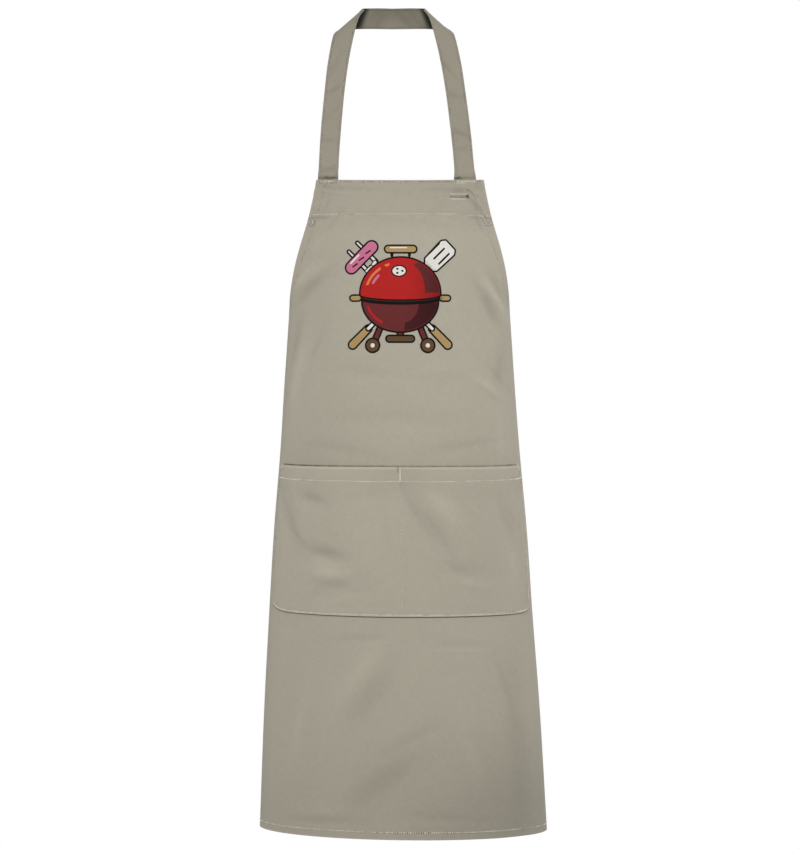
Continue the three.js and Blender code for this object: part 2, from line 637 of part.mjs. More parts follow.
/** The bow behind the back: knot, two loops and two tails in one. */
function tieBow() {
  const middle = TIE_TOP + TIE_WIDTH / 2;
  const seat = wornPoint(sectionAt(middle).lengths[ARC_STEPS], middle, TIE_LIFT);
  const centre = new THREE.Vector3(sectionAt(middle).middle, seat.y + KNOT_THICKNESS / 4, seat.z);
  const half = { y: KNOT_THICKNESS / 2, z: TIE_WIDTH / 2 + KNOT_MARGIN };
  const outline = new THREE.Shape();
  outline.moveTo(-half.y + KNOT_CORNER, -half.z);
  outline.absarc(half.y - KNOT_CORNER, -half.z + KNOT_CORNER, KNOT_CORNER, -Math.PI / 2, 0);
  outline.absarc(half.y - KNOT_CORNER, half.z - KNOT_CORNER, KNOT_CORNER, 0, Math.PI / 2);
  outline.absarc(-half.y + KNOT_CORNER, half.z - KNOT_CORNER, KNOT_CORNER, Math.PI / 2, Math.PI);
  outline.absarc(-half.y + KNOT_CORNER, -half.z + KNOT_CORNER, KNOT_CORNER, Math.PI, 1.5 * Math.PI);
  const section = outline.extractPoints(KNOT_CORNER_STEPS).shape.slice(0, -1);
  const side = (x) => section.map((point) => new THREE.Vector3(x, point.x, point.y).add(centre));
  let bow = toSolid(prism(side(-KNOT_WIDTH / 2), side(KNOT_WIDTH / 2)));
  const loopCentre = centre.clone().add(new THREE.Vector3(0, KNOT_THICKNESS / 4, 0));
  for (const hand of [-1, 1]) {
    bow = bow.add(bowLoop(loopCentre, hand)).add(bowTail(centre, hand));
  }
  return toGeometry(bow);
}

/** Closed solid between two like outlines, each closed by a fan round its middle. */
function prism(first, second) {
  const count = first.length;
  const middle = (points) =>
    points.reduce((sum, point) => sum.add(point), new THREE.Vector3()).divideScalar(count);
  const points = [...first, ...second, middle(first), middle(second)];
  const index = [];
  for (let k = 0; k < count; k += 1) {
    const next = (k + 1) % count;
    index.push(k, next, count + next, k, count + next, count + k);
    index.push(next, k, 2 * count, count + k, count + next, 2 * count + 1);
  }
  return facingOut(new THREE.BufferGeometry().setFromPoints(points), index);
}

/** A named mesh of matt cotton in one colour. */
function cottonPiece(name, geometry, colour) {
  const material = new THREE.MeshStandardMaterial({ color: colour, roughness: 0.9, metalness: 0 });
  const mesh = new THREE.Mesh(geometry, material);
  mesh.name = name;
  return mesh;
}

const group = new THREE.Group();
group.add(
  cottonPiece("apron_panel", apronPanel(), CLOTH_COLOUR),
  cottonPiece("top_band", topBand(), SHADED_CLOTH_COLOUR),
  cottonPiece("armhole_hem_left", edgeHem(-1, 0, WAIST_DROP - GAP), SHADED_CLOTH_COLOUR),
  cottonPiece("armhole_hem_right", edgeHem(1, 0, WAIST_DROP - GAP), SHADED_CLOTH_COLOUR),
  cottonPiece("side_hem_left", edgeHem(-1, WAIST_DROP, HEM_LINE - GAP), SHADED_CLOTH_COLOUR),
  cottonPiece("side_hem_right", edgeHem(1, WAIST_DROP, HEM_LINE - GAP), SHADED_CLOTH_COLOUR),
  cottonPiece("bottom_hem", bottomHem(), SHADED_CLOTH_COLOUR),
  cottonPiece("neck_strap", neckStrap(), CLOTH_COLOUR),
  cottonPiece("pocket", pocket(), CLOTH_COLOUR),
  cottonPiece("pocket_hem", pocketHem(), SHADED_CLOTH_COLOUR),
  cottonPiece("waist_tie_left", waistTie(-1), CLOTH_COLOUR),
  cottonPiece("waist_tie_right", waistTie(1), CLOTH_COLOUR),
  cottonPiece("tie_bow", tieBow(), CLOTH_COLOUR),
);

export default group;
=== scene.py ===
"""Barbecue apron in its worn form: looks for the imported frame. Lengths are in millimetres until a
mesh is made, and a place on the cloth is (across, down) on the flat panel, from the middle of the
bib's top edge."""

import math

import bpy
import mathutils
import numpy as np
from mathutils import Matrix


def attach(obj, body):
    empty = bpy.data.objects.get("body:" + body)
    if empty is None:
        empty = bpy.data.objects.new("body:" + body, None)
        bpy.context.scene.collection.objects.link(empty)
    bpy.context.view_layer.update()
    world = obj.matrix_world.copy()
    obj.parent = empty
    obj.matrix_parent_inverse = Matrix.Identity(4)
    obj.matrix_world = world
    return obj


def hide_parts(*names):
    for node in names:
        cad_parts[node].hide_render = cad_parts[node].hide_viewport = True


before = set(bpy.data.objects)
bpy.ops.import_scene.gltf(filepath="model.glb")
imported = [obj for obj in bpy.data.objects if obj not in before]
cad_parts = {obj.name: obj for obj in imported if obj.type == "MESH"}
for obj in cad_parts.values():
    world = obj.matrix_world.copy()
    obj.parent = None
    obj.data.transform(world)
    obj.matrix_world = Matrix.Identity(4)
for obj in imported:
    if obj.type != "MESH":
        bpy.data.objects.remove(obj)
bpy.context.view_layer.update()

MM = 0.001

# ---------------------------------------------------------------------------------------------
# Camera: level, in front of the apron's middle, far off, with the photograph's upright angle
camera_data = bpy.data.cameras.new("camera")
camera_data.sensor_fit = "VERTICAL"
camera_data.sensor_height = 36
camera_data.lens = 108.34
camera = bpy.data.objects.new("camera", camera_data)
camera.location = (0.009, -3.67, -0.5825)
camera.rotation_euler = (math.pi / 2, 0, 0)
bpy.context.collection.objects.link(camera)
bpy.context.scene.camera = camera


# ---------------------------------------------------------------------------------------------
# Studio: a white room, brighter above than below, with a pale round floor under the apron, a soft
# light at each side in front, one above in front, and one behind for the back views
def linear(code):
    """Linear colour of an sRGB hex code: the power law of the standard, with its straight foot."""
    parts = np.array([int(code[k : k + 2], 16) for k in (1, 3, 5)]) / 255
    low = parts <= 0.04045
    values = np.where(low, parts / 12.92, ((parts + 0.055) / 1.055) ** 2.4)
    return (*values.tolist(), 1.0)


def add(tree, kind, sockets=(), **settings):
    """Adds a shader node: settings are its properties, sockets its inputs by name or number, each
    with a value or with another node's output."""
    made = tree.nodes.new("ShaderNode" + kind)
    for key, value in settings.items():
        setattr(made, key, value)
    for key, value in dict(sockets).items():
        if isinstance(value, bpy.types.NodeSocket):
            tree.links.new(value, made.inputs[key])
        else:
            made.inputs[key].default_value = value
    return made


world = bpy.data.worlds.new("studio")
bpy.context.scene.world = world
world.use_nodes = True
tree = world.node_tree
tree.nodes.clear()
direction = add(tree, "TexCoord").outputs["Generated"]
height = add(tree, "SeparateXYZ", {0: direction}).outputs["Z"]
glow = add(tree, "MapRange", {0: height, 1: -1.0, 2: 1.0, 3: 0.04, 4: 0.5}).outputs[0]
ambient = add(tree, "Background", {"Color": (1, 1, 1, 1), "Strength": glow}).outputs[0]
backdrop = add(tree, "Background", {"Color": (1, 1, 1, 1), "Strength": 1.0}).outputs[0]
seen = add(tree, "LightPath").outputs["Is Camera Ray"]
room = add(tree, "MixShader", {0: seen, 1: ambient, 2: backdrop}).outputs[0]
add(tree, "OutputWorld", {"Surface": room})
bpy.context.scene.view_settings.view_transform = "Standard"


def soft_light(name, place, target, size, watts):
    """Square area light at a place, turned towards a target."""
    data = bpy.data.lights.new(name, "AREA")
    data.size = size
    data.energy = watts
    light = bpy.data.objects.new(name, data)
    light.location = place
    light.visible_camera = False
    aim = mathutils.Vector(target) - mathutils.Vector(place)
    light.rotation_euler = aim.to_track_quat("-Z", "Y").to_euler()
    bpy.context.collection.objects.link(light)


soft_light("left_light", (-1.29, -0.94, -0.52), (0, -0.1, -0.55), 0.5, 8.4)
soft_light("right_light", (1.31, -0.94, -0.38), (0, -0.1, -0.45), 0.5, 9.9)
soft_light("top_light", (0.0, -1.7, 0.5), (0, -0.1, -0.5), 0.5, 11.0)
soft_light("back_light", (1.0, 3.0, 1.2), (0, 0, -0.6), 2.0, 70)

FLOOR_DROP = 1.9
FLOOR_RADIUS = 1.45
floor_place = (0, 0, -FLOOR_DROP)
bpy.ops.mesh.primitive_circle_add(vertices=96, radius=FLOOR_RADIUS, fill_type="NGON", location=floor_place)
floor = bpy.context.object
floor.name = "floor"
floor_paint = bpy.data.materials.new("pale_floor_paint")
floor_paint.use_nodes = True
floor_shader = floor_paint.node_tree.nodes["Principled BSDF"]
floor_shader.inputs["Base Color"].default_value = linear("#E6E5E2")
floor_shader.inputs["Roughness"].default_value = 0.8
floor.data.materials.append(floor_paint)


# ---------------------------------------------------------------------------------------------
# Apron panel: bib, body and skirt in one wide piece of khaki-grey cotton twill, hung from the neck
# strap and led round towards the back. Its edges are turned and sewn, with a buttonhole in the bib
LENGTH = 905
NECK_DROP = 245
WORN_HALF_WIDTH = 202.5
WORN_DEPTH = 116
FRONT_REACH = 180
HANG_SHIFT = 9
HEM_TILT = 2.5
TOP_SAG = 2.5
SAG_DEPTH = 100
BIB_HALF_WIDTH = 118
WAIST_HALF_WIDTH = 345
HEM_HALF_WIDTH = 365
WAIST_DROP = 300

# down, then half width, depth, reach and sideways shift as shares of the worn hem's
SECTIONS = np.array([
    [0.0, 0.76, 0.517, 0.906, 1.0],
    [0.1, 0.76, 0.69, 0.933, 1.0],
    [0.178, 0.763, 0.819, 0.944, 0.93],
    [0.225, 0.775, 0.836, 0.939, 0.93],
    [0.318, 0.803, 0.836, 0.928, 0.93],
    [0.412, 0.832, 0.862, 0.933, 1.0],
    [0.537, 0.88, 0.905, 0.956, 1.07],
    [0.661, 0.915, 0.931, 0.972, 1.13],
    [0.817, 0.96, 0.966, 0.989, 1.32],
    [1.0, 1.0, 1.0, 1.0, 1.53],
])

# down along the armhole, and how far out its cut has come
ARMHOLE = np.array([
    [0.0, 0.0],
    [0.1, 0.032],
    [0.2, 0.077],
    [0.3, 0.14],
    [0.4, 0.212],
    [0.5, 0.292],
    [0.6, 0.39],
    [0.7, 0.505],
    [0.8, 0.64],
    [0.9, 0.8],
    [1.0, 1.0],
])

# Folds: across, down, turn in degrees, length, width, height; first the broad ones, as in the solid
FOLDS = np.array([
    [-146.0, 137.6, -34, 60, 15, 3.6],
    [-132.9, 150.2, -35, 80, 15, -3.2],
    [146.0, 165.6, 49, 75, 13.5, 4.0],
    [135.1, 179.2, 52, 75, 15, -4.0],
    [151.5, 149.3, 42, 55, 12, -2.4],
    [-164.3, 221.7, -71, 75, 21, -2.8],
    [-157.0, 276.9, -74, 100, 24, 2.8],
    [154.0, 262.5, -80, 60, 24, -3.0],
    [131.4, 286.9, 29, 50, 15, 1.6],
    [-60.2, 686.0, -53, 110, 30, 2.4],
    [-43.8, 713.1, -53, 100, 30, -2.4],
    [-28.1, 831.7, -39, 130, 36, -3.0],
    [171.6, 778.3, 88, 260, 42, -2.8],
    # fine creases of the bib and the skirt
    [-90.0, 11.5, 2, 60, 5, -1.44],
    [-88.0, 17.0, 3, 70, 6, 1],
    [73.0, 13.5, -1, 80, 6, -1.6],
    [70.0, 19.0, 0, 60, 5, 0.87],
    [104.0, 33.0, 51, 34, 6, -2.04],
    [108.0, 30.0, 51, 30, 5, 1.44],
    [101.0, 20.0, 28, 18, 4, -1.7],
    [-104.0, 34.0, -60, 30, 6, -1.16],
    [-96.0, 60.0, -52, 40, 8, -1.44],
    [-20.0, 55.0, 8, 60, 8, -0.71],
    [60.0, 58.0, 12, 70, 9, 1],
    [112.0, 62.0, 60, 30, 6, -2.04],
    [120.0, 80.0, 58, 40, 6, 1.44],
    [-122.0, 92.0, -48, 50, 8, 1.44],
    [-30.0, 268.0, 4, 130, 16, -1],
    [60.0, 262.0, -6, 110, 14, 1],
    [0.0, 330.0, 2, 180, 20, -1.16],
    [-90.0, 372.0, 8, 120, 12, -1],
    [90.0, 368.0, -8, 130, 12, -1.16],
    [147.0, 271.0, 35, 60, 8, -1.7],
    [128.0, 287.0, 30, 50, 6, 1.44],
    [-60.0, 632.0, -3, 90, 8, -1.16],
    [80.0, 640.0, 2, 80, 5, -1.6],
    [82.0, 646.0, 2, 70, 5, 1],
    [150.0, 700.0, 70, 90, 14, -1.7],
    [-150.0, 760.0, -78, 110, 18, 1.7],
    [-110.0, 884.0, -2, 110, 8, -1.7],
    [-112.0, 872.0, -3, 100, 9, 1],
    [60.0, 876.0, 4, 120, 9, -1.16],
    [10.0, 770.0, -30, 90, 14, -1.44],
    [100.0, 800.0, 74, 120, 16, 1.44],
    [150.0, 366.0, 88, 56, 9, 1.7],
    [-52.0, 13.0, -2, 60, 5, -0.85],
    [111.0, 8.0, 62, 22, 5, -1.7],
    [-108.0, 12.0, -40, 26, 5, -1.36],
    [30.0, 120.0, 74, 60, 12, -0.85],
    [-120.0, 230.0, -66, 90, 9, -1.36],
])


def smooth(table, at):
    """Rows of a table at places of its first column: cubic pieces through the rows, whose slope at a
    row is that of the straight line between its neighbours."""
    key = table[:, 0]
    order = np.arange(len(key))
    ahead, behind = np.minimum(order + 1, len(key) - 1), np.maximum(order - 1, 0)
    slope = (table[ahead] - table[behind]) / (key[ahead] - key[behind])[:, None]
    row = np.clip(np.searchsorted(key, at, side="right") - 1, 0, len(key) - 2)
    span = (key[row + 1] - key[row])[..., None]
    t = (at - key[row])[..., None] / span
    ease = t * t * (3 - 2 * t)
    rise = span * (slope[row] * t * (1 - t) ** 2 - slope[row + 1] * t * t * (1 - t))
    return table[row] + (table[row + 1] - table[row]) * ease + rise


def panel_half_width(down):
    """Half width of the cut panel: the armhole's curve down to the waist, then a straight flare."""
    out = smooth(ARMHOLE, np.clip(down / WAIST_DROP, 0, 1))[..., 1]
    upper = BIB_HALF_WIDTH + (WAIST_HALF_WIDTH - BIB_HALF_WIDTH) * out
    share = (down - WAIST_DROP) / (LENGTH - WAIST_DROP)
    lower = WAIST_HALF_WIDTH + (HEM_HALF_WIDTH - WAIST_HALF_WIDTH) * share
    return np.where(down < WAIST_DROP, upper, lower)


def fold_height(folds, across, down):
    """Sum of long soft humps: each one's height times a bell curve along it and one over it."""
    height = np.zeros(np.shape(across))
    for middle, drop, turn, length, width, rise in folds:
        cosine, sine = math.cos(math.radians(turn)), math.sin(math.radians(turn))
        x, y = across - middle, down - drop
        along = (x * cosine + y * sine) / (length / 2)
        over = (y * cosine - x * sine) / (width / 2)
        height = height + rise * np.exp(-along * along - over * over)
    return height


PLACES, WEIGHTS = np.polynomial.legendre.leggauss(20)
NEWTON_STEPS = 7


def ellipse_angle(length, half_width, depth):
    """Angle round an ellipse from its front at which the arc has a length: Newton's steps on the
    arc's integral."""
    angle = length / half_width
    for _ in range(NEWTON_STEPS):
        turn = angle[..., None] * (PLACES + 1) / 2
        speed = np.hypot(half_width[..., None] * np.cos(turn), depth[..., None] * np.sin(turn))
        arc = (speed * WEIGHTS).sum(-1) * angle / 2
        speed = np.hypot(half_width * np.cos(angle), depth * np.sin(angle))
        angle = angle - (arc - length) / speed
    return angle


def worn(across, down, lift=0.0):
    """Points of the hanging cloth: each height follows an ellipse, the place across is the length
    along it, and the lift and the folds stand off it squarely."""
    across, down, lift = (np.asarray(a, float) for a in np.broadcast_arrays(across, down, lift))
    shares = smooth(SECTIONS, down / LENGTH)
    half_width, depth = WORN_HALF_WIDTH * shares[..., 1], WORN_DEPTH * shares[..., 2]
    angle = np.sign(across) * ellipse_angle(np.abs(across), half_width, depth)
    sine, cosine = np.sin(angle), np.cos(angle)
    folds = fold_height(FOLDS, across, down)
    stand = (lift + folds) / np.hypot(depth * sine, half_width * cosine)
    sag = np.clip(1 - (across / BIB_HALF_WIDTH) ** 2, 0, 1) * np.clip(1 - down / SAG_DEPTH, 0, 1) ** 2
    return np.stack(
        [
            HANG_SHIFT * shares[..., 4] + (half_width + stand * depth) * sine,
            -FRONT_REACH * shares[..., 3] + depth * (1 - cosine) - stand * half_width * cosine,
            -NECK_DROP - down - TOP_SAG * sag - HEM_TILT * sine * (down / LENGTH) ** 2,
        ],
        -1,
    )


def places(marks, step):
    """Places from the first mark to the last, at most a step apart, with every mark among them."""
    parts = [
        np.linspace(low, high, max(1, math.ceil((high - low) / step)), endpoint=False)
        for low, high in zip(marks, marks[1:])
    ]
    return np.concatenate([*parts, marks[-1:]])


def unit(vectors):
    """Vectors of length 1."""
    return vectors / np.linalg.norm(vectors, axis=-1, keepdims=True)


RIM_LOOPS = 3


def closed_cloth(outer, inner, keep=None):
    """Closed sheet between two like grids of points, without the cells that keep leaves out. Round
    each rim, loops of points go half round the middle of the edge. Returns points, faces and the
    grid place that each point came from."""
    rows, columns = outer.shape[:2]
    count = rows * columns
    ids = np.arange(count).reshape(rows, columns)
    quads = np.stack([ids[:-1, :-1], ids[1:, :-1], ids[1:, 1:], ids[:-1, 1:]], -1)
    quads = quads[keep] if keep is not None else quads.reshape(-1, 4)
    start, end = quads.ravel(), np.roll(quads, -1, axis=1).ravel()
    bare = ~np.isin(start * count + end, end * count + start)
    start, end = start[bare], end[bare]
    before, after, slot = np.zeros(count, int), np.zeros(count, int), np.zeros(count, int)
    before[end], after[start], slot[start] = start, end, np.arange(len(start))
    top, bottom = outer.reshape(-1, 3), inner.reshape(-1, 3)
    middle, up = (top[start] + bottom[start]) / 2, (top[start] - bottom[start]) / 2
    out = np.cross(unit(top[after[start]] - top[before[start]]), up)
    turns = [math.pi * k / (RIM_LOOPS + 1) for k in range(1, RIM_LOOPS + 1)]
    loops = [middle + up * math.cos(turn) + out * math.sin(turn) for turn in turns]
    points = np.concatenate([top, bottom, *loops])
    rings = [np.arange(count)]
    rings += [2 * count + k * len(start) + slot for k in range(RIM_LOOPS)]
    rings += [np.arange(count) + count]
    walls = [np.stack([a[end], a[start], b[start], b[end]], -1) for a, b in zip(rings, rings[1:])]
    faces = np.concatenate([quads, quads[:, ::-1] + count, *walls])
    return points, faces, np.concatenate([np.arange(count)] * 2 + [start] * RIM_LOOPS)


def add_piece(name, points, faces, materials, places_on_cloth=None, values=(), choice=None):
    """Makes a smooth mesh object from points in millimetres and rides it on the root body. The
    places on the cloth become its UV map in metres, values become point attributes, and choice is
    each face's material."""
    mesh = bpy.data.meshes.new(name)
    mesh.from_pydata((points * MM).tolist(), [], faces.tolist() if hasattr(faces, "tolist") else faces)
    mesh.shade_smooth()
    if places_on_cloth is not None:
        corner = np.zeros(len(mesh.loops), np.int32)
        mesh.loops.foreach_get("vertex_index", corner)
        layer = mesh.uv_layers.new(name="cloth")
        layer.data.foreach_set("uv", (places_on_cloth[corner] * MM).astype(np.float32).ravel())
    for key, value in dict(values).items():
        mesh.attributes.new(key, "FLOAT", "POINT").data.foreach_set("value", value.astype(np.float32))
    for material in materials:
        mesh.materials.append(material)
    if choice is not None:
        mesh.polygons.foreach_set("material_index", choice.astype(np.int32))
    mesh.update()
    piece = bpy.data.objects.new(name, mesh)
    bpy.context.collection.objects.link(piece)
    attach(piece, "root")
    return piece


def cotton_twill(name, colour, pitch=1.5):
    """Cotton twill: a base colour with a slow mottle, slubs along and across the yarns, a diagonal
    rib in the bump, a little sheen, lighter at worn edges and at painted highlights, and darker
    where shade is painted. The rib is drawn 1.5 mm wide, twice as coarse as the real one, so that it shows."""
    material = bpy.data.materials.new(name)
    material.use_nodes = True
    tree = material.node_tree
    shader = tree.nodes["Principled BSDF"]
    shader.inputs["Roughness"].default_value = 0.88
    shader.inputs["Specular IOR Level"].default_value = 0.25
    shader.inputs["Sheen Weight"].default_value = 0.12
    shader.inputs["Sheen Roughness"].default_value = 0.6
    place = add(tree, "UVMap", uv_map="cloth").outputs[0]
    turned = add(tree, "Mapping", {"Vector": place, "Rotation": (0, 0, math.radians(27))}).outputs[0]
    wander = {"Distortion": 1.2, "Detail": 1.0, "Detail Scale": 2.0}
    rib = add(tree, "TexWave", {"Vector": turned, "Scale": 0.314 / (pitch * MM), **wander}).outputs[1]
    tone = add(tree, "Math", {0: rib, 1: 0.05, 2: 0.705}, operation="MULTIPLY_ADD").outputs[0]
    relief = rib
    # stretch along and across the yarns, scale, detail, share of the tone, share of the relief
    for stretch, scale, detail, share, rise in (
        ((0.12, 1, 1), 900, 2, 0.16, 0.5),
        ((1, 0.12, 1), 900, 2, 0.16, 0.5),
        ((1, 1, 1), 95, 2, 0.08, 0),
        ((1, 1, 1), 14, 3, 0.08, 0),
        ((1, 1, 1), 700, 2, 0.06, 0),
    ):
        laid = add(tree, "Mapping", {"Vector": place, "Scale": stretch}).outputs[0]
        noise = add(tree, "TexNoise", {"Vector": laid, "Scale": scale, "Detail": detail}).outputs[0]
        tone = add(tree, "Math", {0: noise, 1: share, 2: tone}, operation="MULTIPLY_ADD").outputs[0]
        if rise:
            sockets = {0: noise, 1: rise, 2: relief}
            relief = add(tree, "Math", sockets, operation="MULTIPLY_ADD").outputs[0]
    # point attributes: lighter by wear and by painted highlights, darker by painted shade
    rubbed_and_highlighted = add(tree, "Attribute", attribute_name="rubbed_and_highlighted").outputs["Fac"]
    shaded = add(tree, "Attribute", attribute_name="shaded").outputs["Fac"]
    tone = add(tree, "Math", {0: rubbed_and_highlighted, 1: 0.09, 2: tone}, operation="MULTIPLY_ADD").outputs[0]
    open_share = add(tree, "Math", {0: 1.0, 1: shaded}, operation="SUBTRACT").outputs[0]
    tone = add(tree, "Math", {0: tone, 1: open_share}, operation="MULTIPLY").outputs[0]
    tint = add(tree, "VectorMath", {0: linear(colour)[:3], "Scale": tone}, operation="SCALE")
    tree.links.new(tint.outputs[0], shader.inputs["Base Color"])
    bump = add(tree, "Bump", {"Height": relief, "Strength": 0.5, "Distance": 0.00022})
    tree.links.new(bump.outputs[0], shader.inputs["Normal"])
    return material


panel_cotton = cotton_twill("khaki_grey_cotton_twill", "#ACA696")

EDGE_HEM = 14.5
EDGE_STITCH = 13.2
BAND_DEPTH = 49
BAND_STITCH = 47.7
BOTTOM_HEM = 12
HEM_STITCH = LENGTH - 9.4
MOUTH_DROP = 396
POCKET_HALF_WIDTH = 205
HOLE_ACROSS = 83
HOLE_DROP = 23
HOLE_LENGTH = 25
HOLE_SLIT = 1.1

# tucks where the armhole's hem meets the band: places across and down of their sewn loops
TUCKS = [
    [(117.2, 49), (119.2, 53.5), (121.6, 57.8), (124.7, 60.6), (128, 60.9), (131.4, 58.7)],
    [(-129, 49), (-126.6, 53), (-124.4, 57), (-126, 61), (-128.4, 62)],
]
RIPPLE_HEIGHT = 0.09


def bell(distance, reach):
    """Bell curve: 1 at no distance, 0.37 at the reach, next to nothing at twice the reach."""
    return np.exp(-((distance / reach) ** 2))


def ramp(value, start, end):
    """Straight rise from 0 at the start to 1 at the end, level beyond them."""
    return np.clip((value - start) / (end - start), 0, 1)


def pucker(along, distance, depth=0.35, reach=3.2):
    """Height beside a sewn line: a shallow groove whose depth comes and goes along the seam, and
    short ripples that die away from it."""
    wave = np.sin(along / 2.9) + 0.7 * np.sin(along / 4.7 + 1.3) + 0.6 * np.sin(along / 8.3 + 0.4)
    ripples = RIPPLE_HEIGHT * bell(distance, 3 * reach) * wave
    return ripples - depth * bell(distance, reach) * (1 + 0.3 * wave)


def panel_lift(across, down):
    """Height of the panel's outer face over the plain one: puckers along its seams."""
    inside = panel_half_width(down) - np.abs(across)
    height = pucker(across, down - BAND_STITCH) + pucker(across + 40, down - HEM_STITCH)
    return height + pucker(down * np.sign(across), inside - EDGE_STITCH)


# rows and columns stand closer together where the cloth is cut, turned or sewn
slit_rows = [HOLE_DROP - HOLE_SLIT / 2, HOLE_DROP + HOLE_SLIT / 2]
band_marks = [0, 0.8, 2.5, 21.2, *slit_rows, 24.8, 44, 46, BAND_STITCH, BAND_DEPTH, 51, 66]
mouth_marks = [66, 391, 392, 393, 394, 395, MOUTH_DROP, 397.6]
hem_marks = [890, 892.5, 894.2, HEM_STITCH, 897, 899, 902.5, 904.2, LENGTH]
rows = np.concatenate([places(band_marks, 2)[:-1], places(mouth_marks + hem_marks, 5)])
EDGE_MARKS = np.array([0, 0.8, 2.5, 6, 9.5, 11.7, EDGE_STITCH, EDGE_HEM, 17])
INNER_COLUMNS = 80


def panel_grid(downs):
    """Places across and down of the panel's grid: fixed distances from the edges, even between."""
    edge = panel_half_width(downs)[:, None]
    share = np.arange(1 - INNER_COLUMNS, INNER_COLUMNS) / INNER_COLUMNS
    middle = (edge - EDGE_MARKS[-1]) * share
    across = np.concatenate([EDGE_MARKS - edge, middle, (edge - EDGE_MARKS)[:, ::-1]], axis=1)
    return across, np.broadcast_to(downs[:, None], across.shape)


def outside_slit(across, down):
    """Which cells of a grid lie outside the buttonhole's slit, by the middles of the cells."""
    x, y = ((grid[:-1, :-1] + grid[1:, 1:]) / 2 for grid in (across, down))
    return (np.abs(x - HOLE_ACROSS) > HOLE_LENGTH / 2) | (np.abs(y - HOLE_DROP) > HOLE_SLIT / 2)


def soft_lines(table):
    """Soft lines on a grid, a row each: share times the bell curve of its distance and reach, and
    times where it shows."""
    return [share * bell(distance, reach) * where for distance, reach, share, where in table]


def add_cloth(name, outer, inner, cloth, material, slot, rubbed_and_highlighted=0, shaded=0, shaded_behind=0, keep=None):
    """Piece of cloth between two like grids of points. Its places on the cloth, its wear with painted
    highlights and its painted shade are given on the same grid, and the painted shade behind is for
    the inner face alone."""
    points, faces, source = closed_cloth(outer, inner, keep)
    rubbed_and_highlighted, shaded, shaded_behind = (
        np.broadcast_to(grid, outer.shape[:2]).ravel()[source] for grid in (rubbed_and_highlighted, shaded, shaded_behind)
    )
    on_inner = np.arange(len(source)) >= outer[..., 0].size
    values = {"rubbed_and_highlighted": rubbed_and_highlighted, "shaded": np.maximum(shaded, shaded_behind * on_inner)}
    places_on_cloth = np.stack(cloth, -1).reshape(-1, 2)[source]
    return add_piece(name, points, faces, [material], places_on_cloth, values)


PANEL_CLOTH = 0.9
# per millimetre of a fold: painted highlight on a hump, painted shade in a hollow, and the most painted shade
# in a hollow
HUMP_HIGHLIGHT = 0.3
HOLLOW_SHADE = 0.034
DEEPEST_HOLLOW = 0.16
across, down = panel_grid(rows)
lift = panel_lift(across, down)
folds = fold_height(FOLDS, across, down)

# lighter: the edges by wear and a painted highlight, and painted highlights on the ridges beside
# the band's and the hem's seams and on the humps
inside = panel_half_width(down) - np.abs(across)
from_edge = np.minimum(inside, np.minimum(down, LENGTH - down))
from_ridge = np.minimum(np.abs(down - BAND_STITCH - 2), np.abs(down - HEM_STITCH + 2))
panel_wear_and_highlight = bell(from_edge, 1.6) + 0.45 * bell(from_ridge, 2) + np.clip(HUMP_HIGHLIGHT * folds, 0, 1)

# painted shade along lines: distance, reach, share, where
jagged = 0.75 + 0.25 * np.sin(across / 2.3) * np.sin(across / 5.9)
mouth_end = (0.6 + 0.1 * (across < 0) + 0.3 * (ramp(-across, 60, 150) + ramp(across, 130, 170))) * jagged
mouth_line = MOUTH_DROP - 0.9 - 2.4 * (across / POCKET_HALF_WIDTH) ** 4
off_hole = across - HOLE_ACROSS
slit_reach = 2.1 + 0.05 * np.clip(off_hole, -13, 13)
pinch_line = 13.4 + 0.075 * np.clip(across - 93, 0, 20) ** 2
near_tucks = np.min([np.hypot(across - x, down - y) for tuck in TUCKS for x, y in tuck], axis=0)
painted_shade_lines = soft_lines(
    [
        (down - mouth_line, 1.1, mouth_end, np.abs(across) < 186),  # along the pocket's mouth
        (down - HOLE_DROP, slit_reach, 0.97, np.abs(off_hole) < 13.5),  # in the buttonhole
        (down - pinch_line, 1.2, 0.42, np.abs(across - 100) < 7),  # pinch above its end
        (down - HOLE_DROP + 8, 3.5, 0.2, bell(off_hole, 16)),  # gathered cloth above it
        (down - 38, 6, 0.14, bell(across - 108, 5)),  # fold at the bib's corner
        (down - BAND_DEPTH - 3, 1.6, 0.24, ramp(np.abs(across), 92, 106)),  # under the band's ends
        (near_tucks - 1.2, 1.1, 0.38, 1),  # round the tucks
    ]
)
# painted shade in the hollows of the folds as well
shade = np.maximum.reduce([*painted_shade_lines, np.clip(-HOLLOW_SHADE * folds, 0, DEEPEST_HOLLOW)])

# the band leans back and the skirt's lower right turns away, and both get a little painted shade
leaning_band_shade = (0.08 + 0.03 * ramp(across, 0, 60)) * ramp(down, 78, 48) + 0.025 * bell(down - 11, 9)
low_corner_shade = 0.17 * bell(across - 150, 120) * ramp(down, 725, 855) + 0.055 * ramp(down, 760, 870)
apron_panel = add_cloth(
    "apron_panel",
    worn(across, down, lift),
    worn(across, down, lift - PANEL_CLOTH),
    (across, down),
    panel_cotton,
    "panel_cotton",
    rubbed_and_highlighted=panel_wear_and_highlight,
    shaded=shade + (1 - shade) * (leaning_band_shade + low_corner_shade),
    keep=outside_slit(across, down),
)
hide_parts("apron_panel")


# ---------------------------------------------------------------------------------------------
# Turned edges: the same cloth folded in behind the panel, a wide band at the bib's top and narrow
# hems along the armholes, the sides and the bottom, each sewn down near its inner edge
TURNED_LIFT = -0.85
TURNED_CLOTH = 1.45


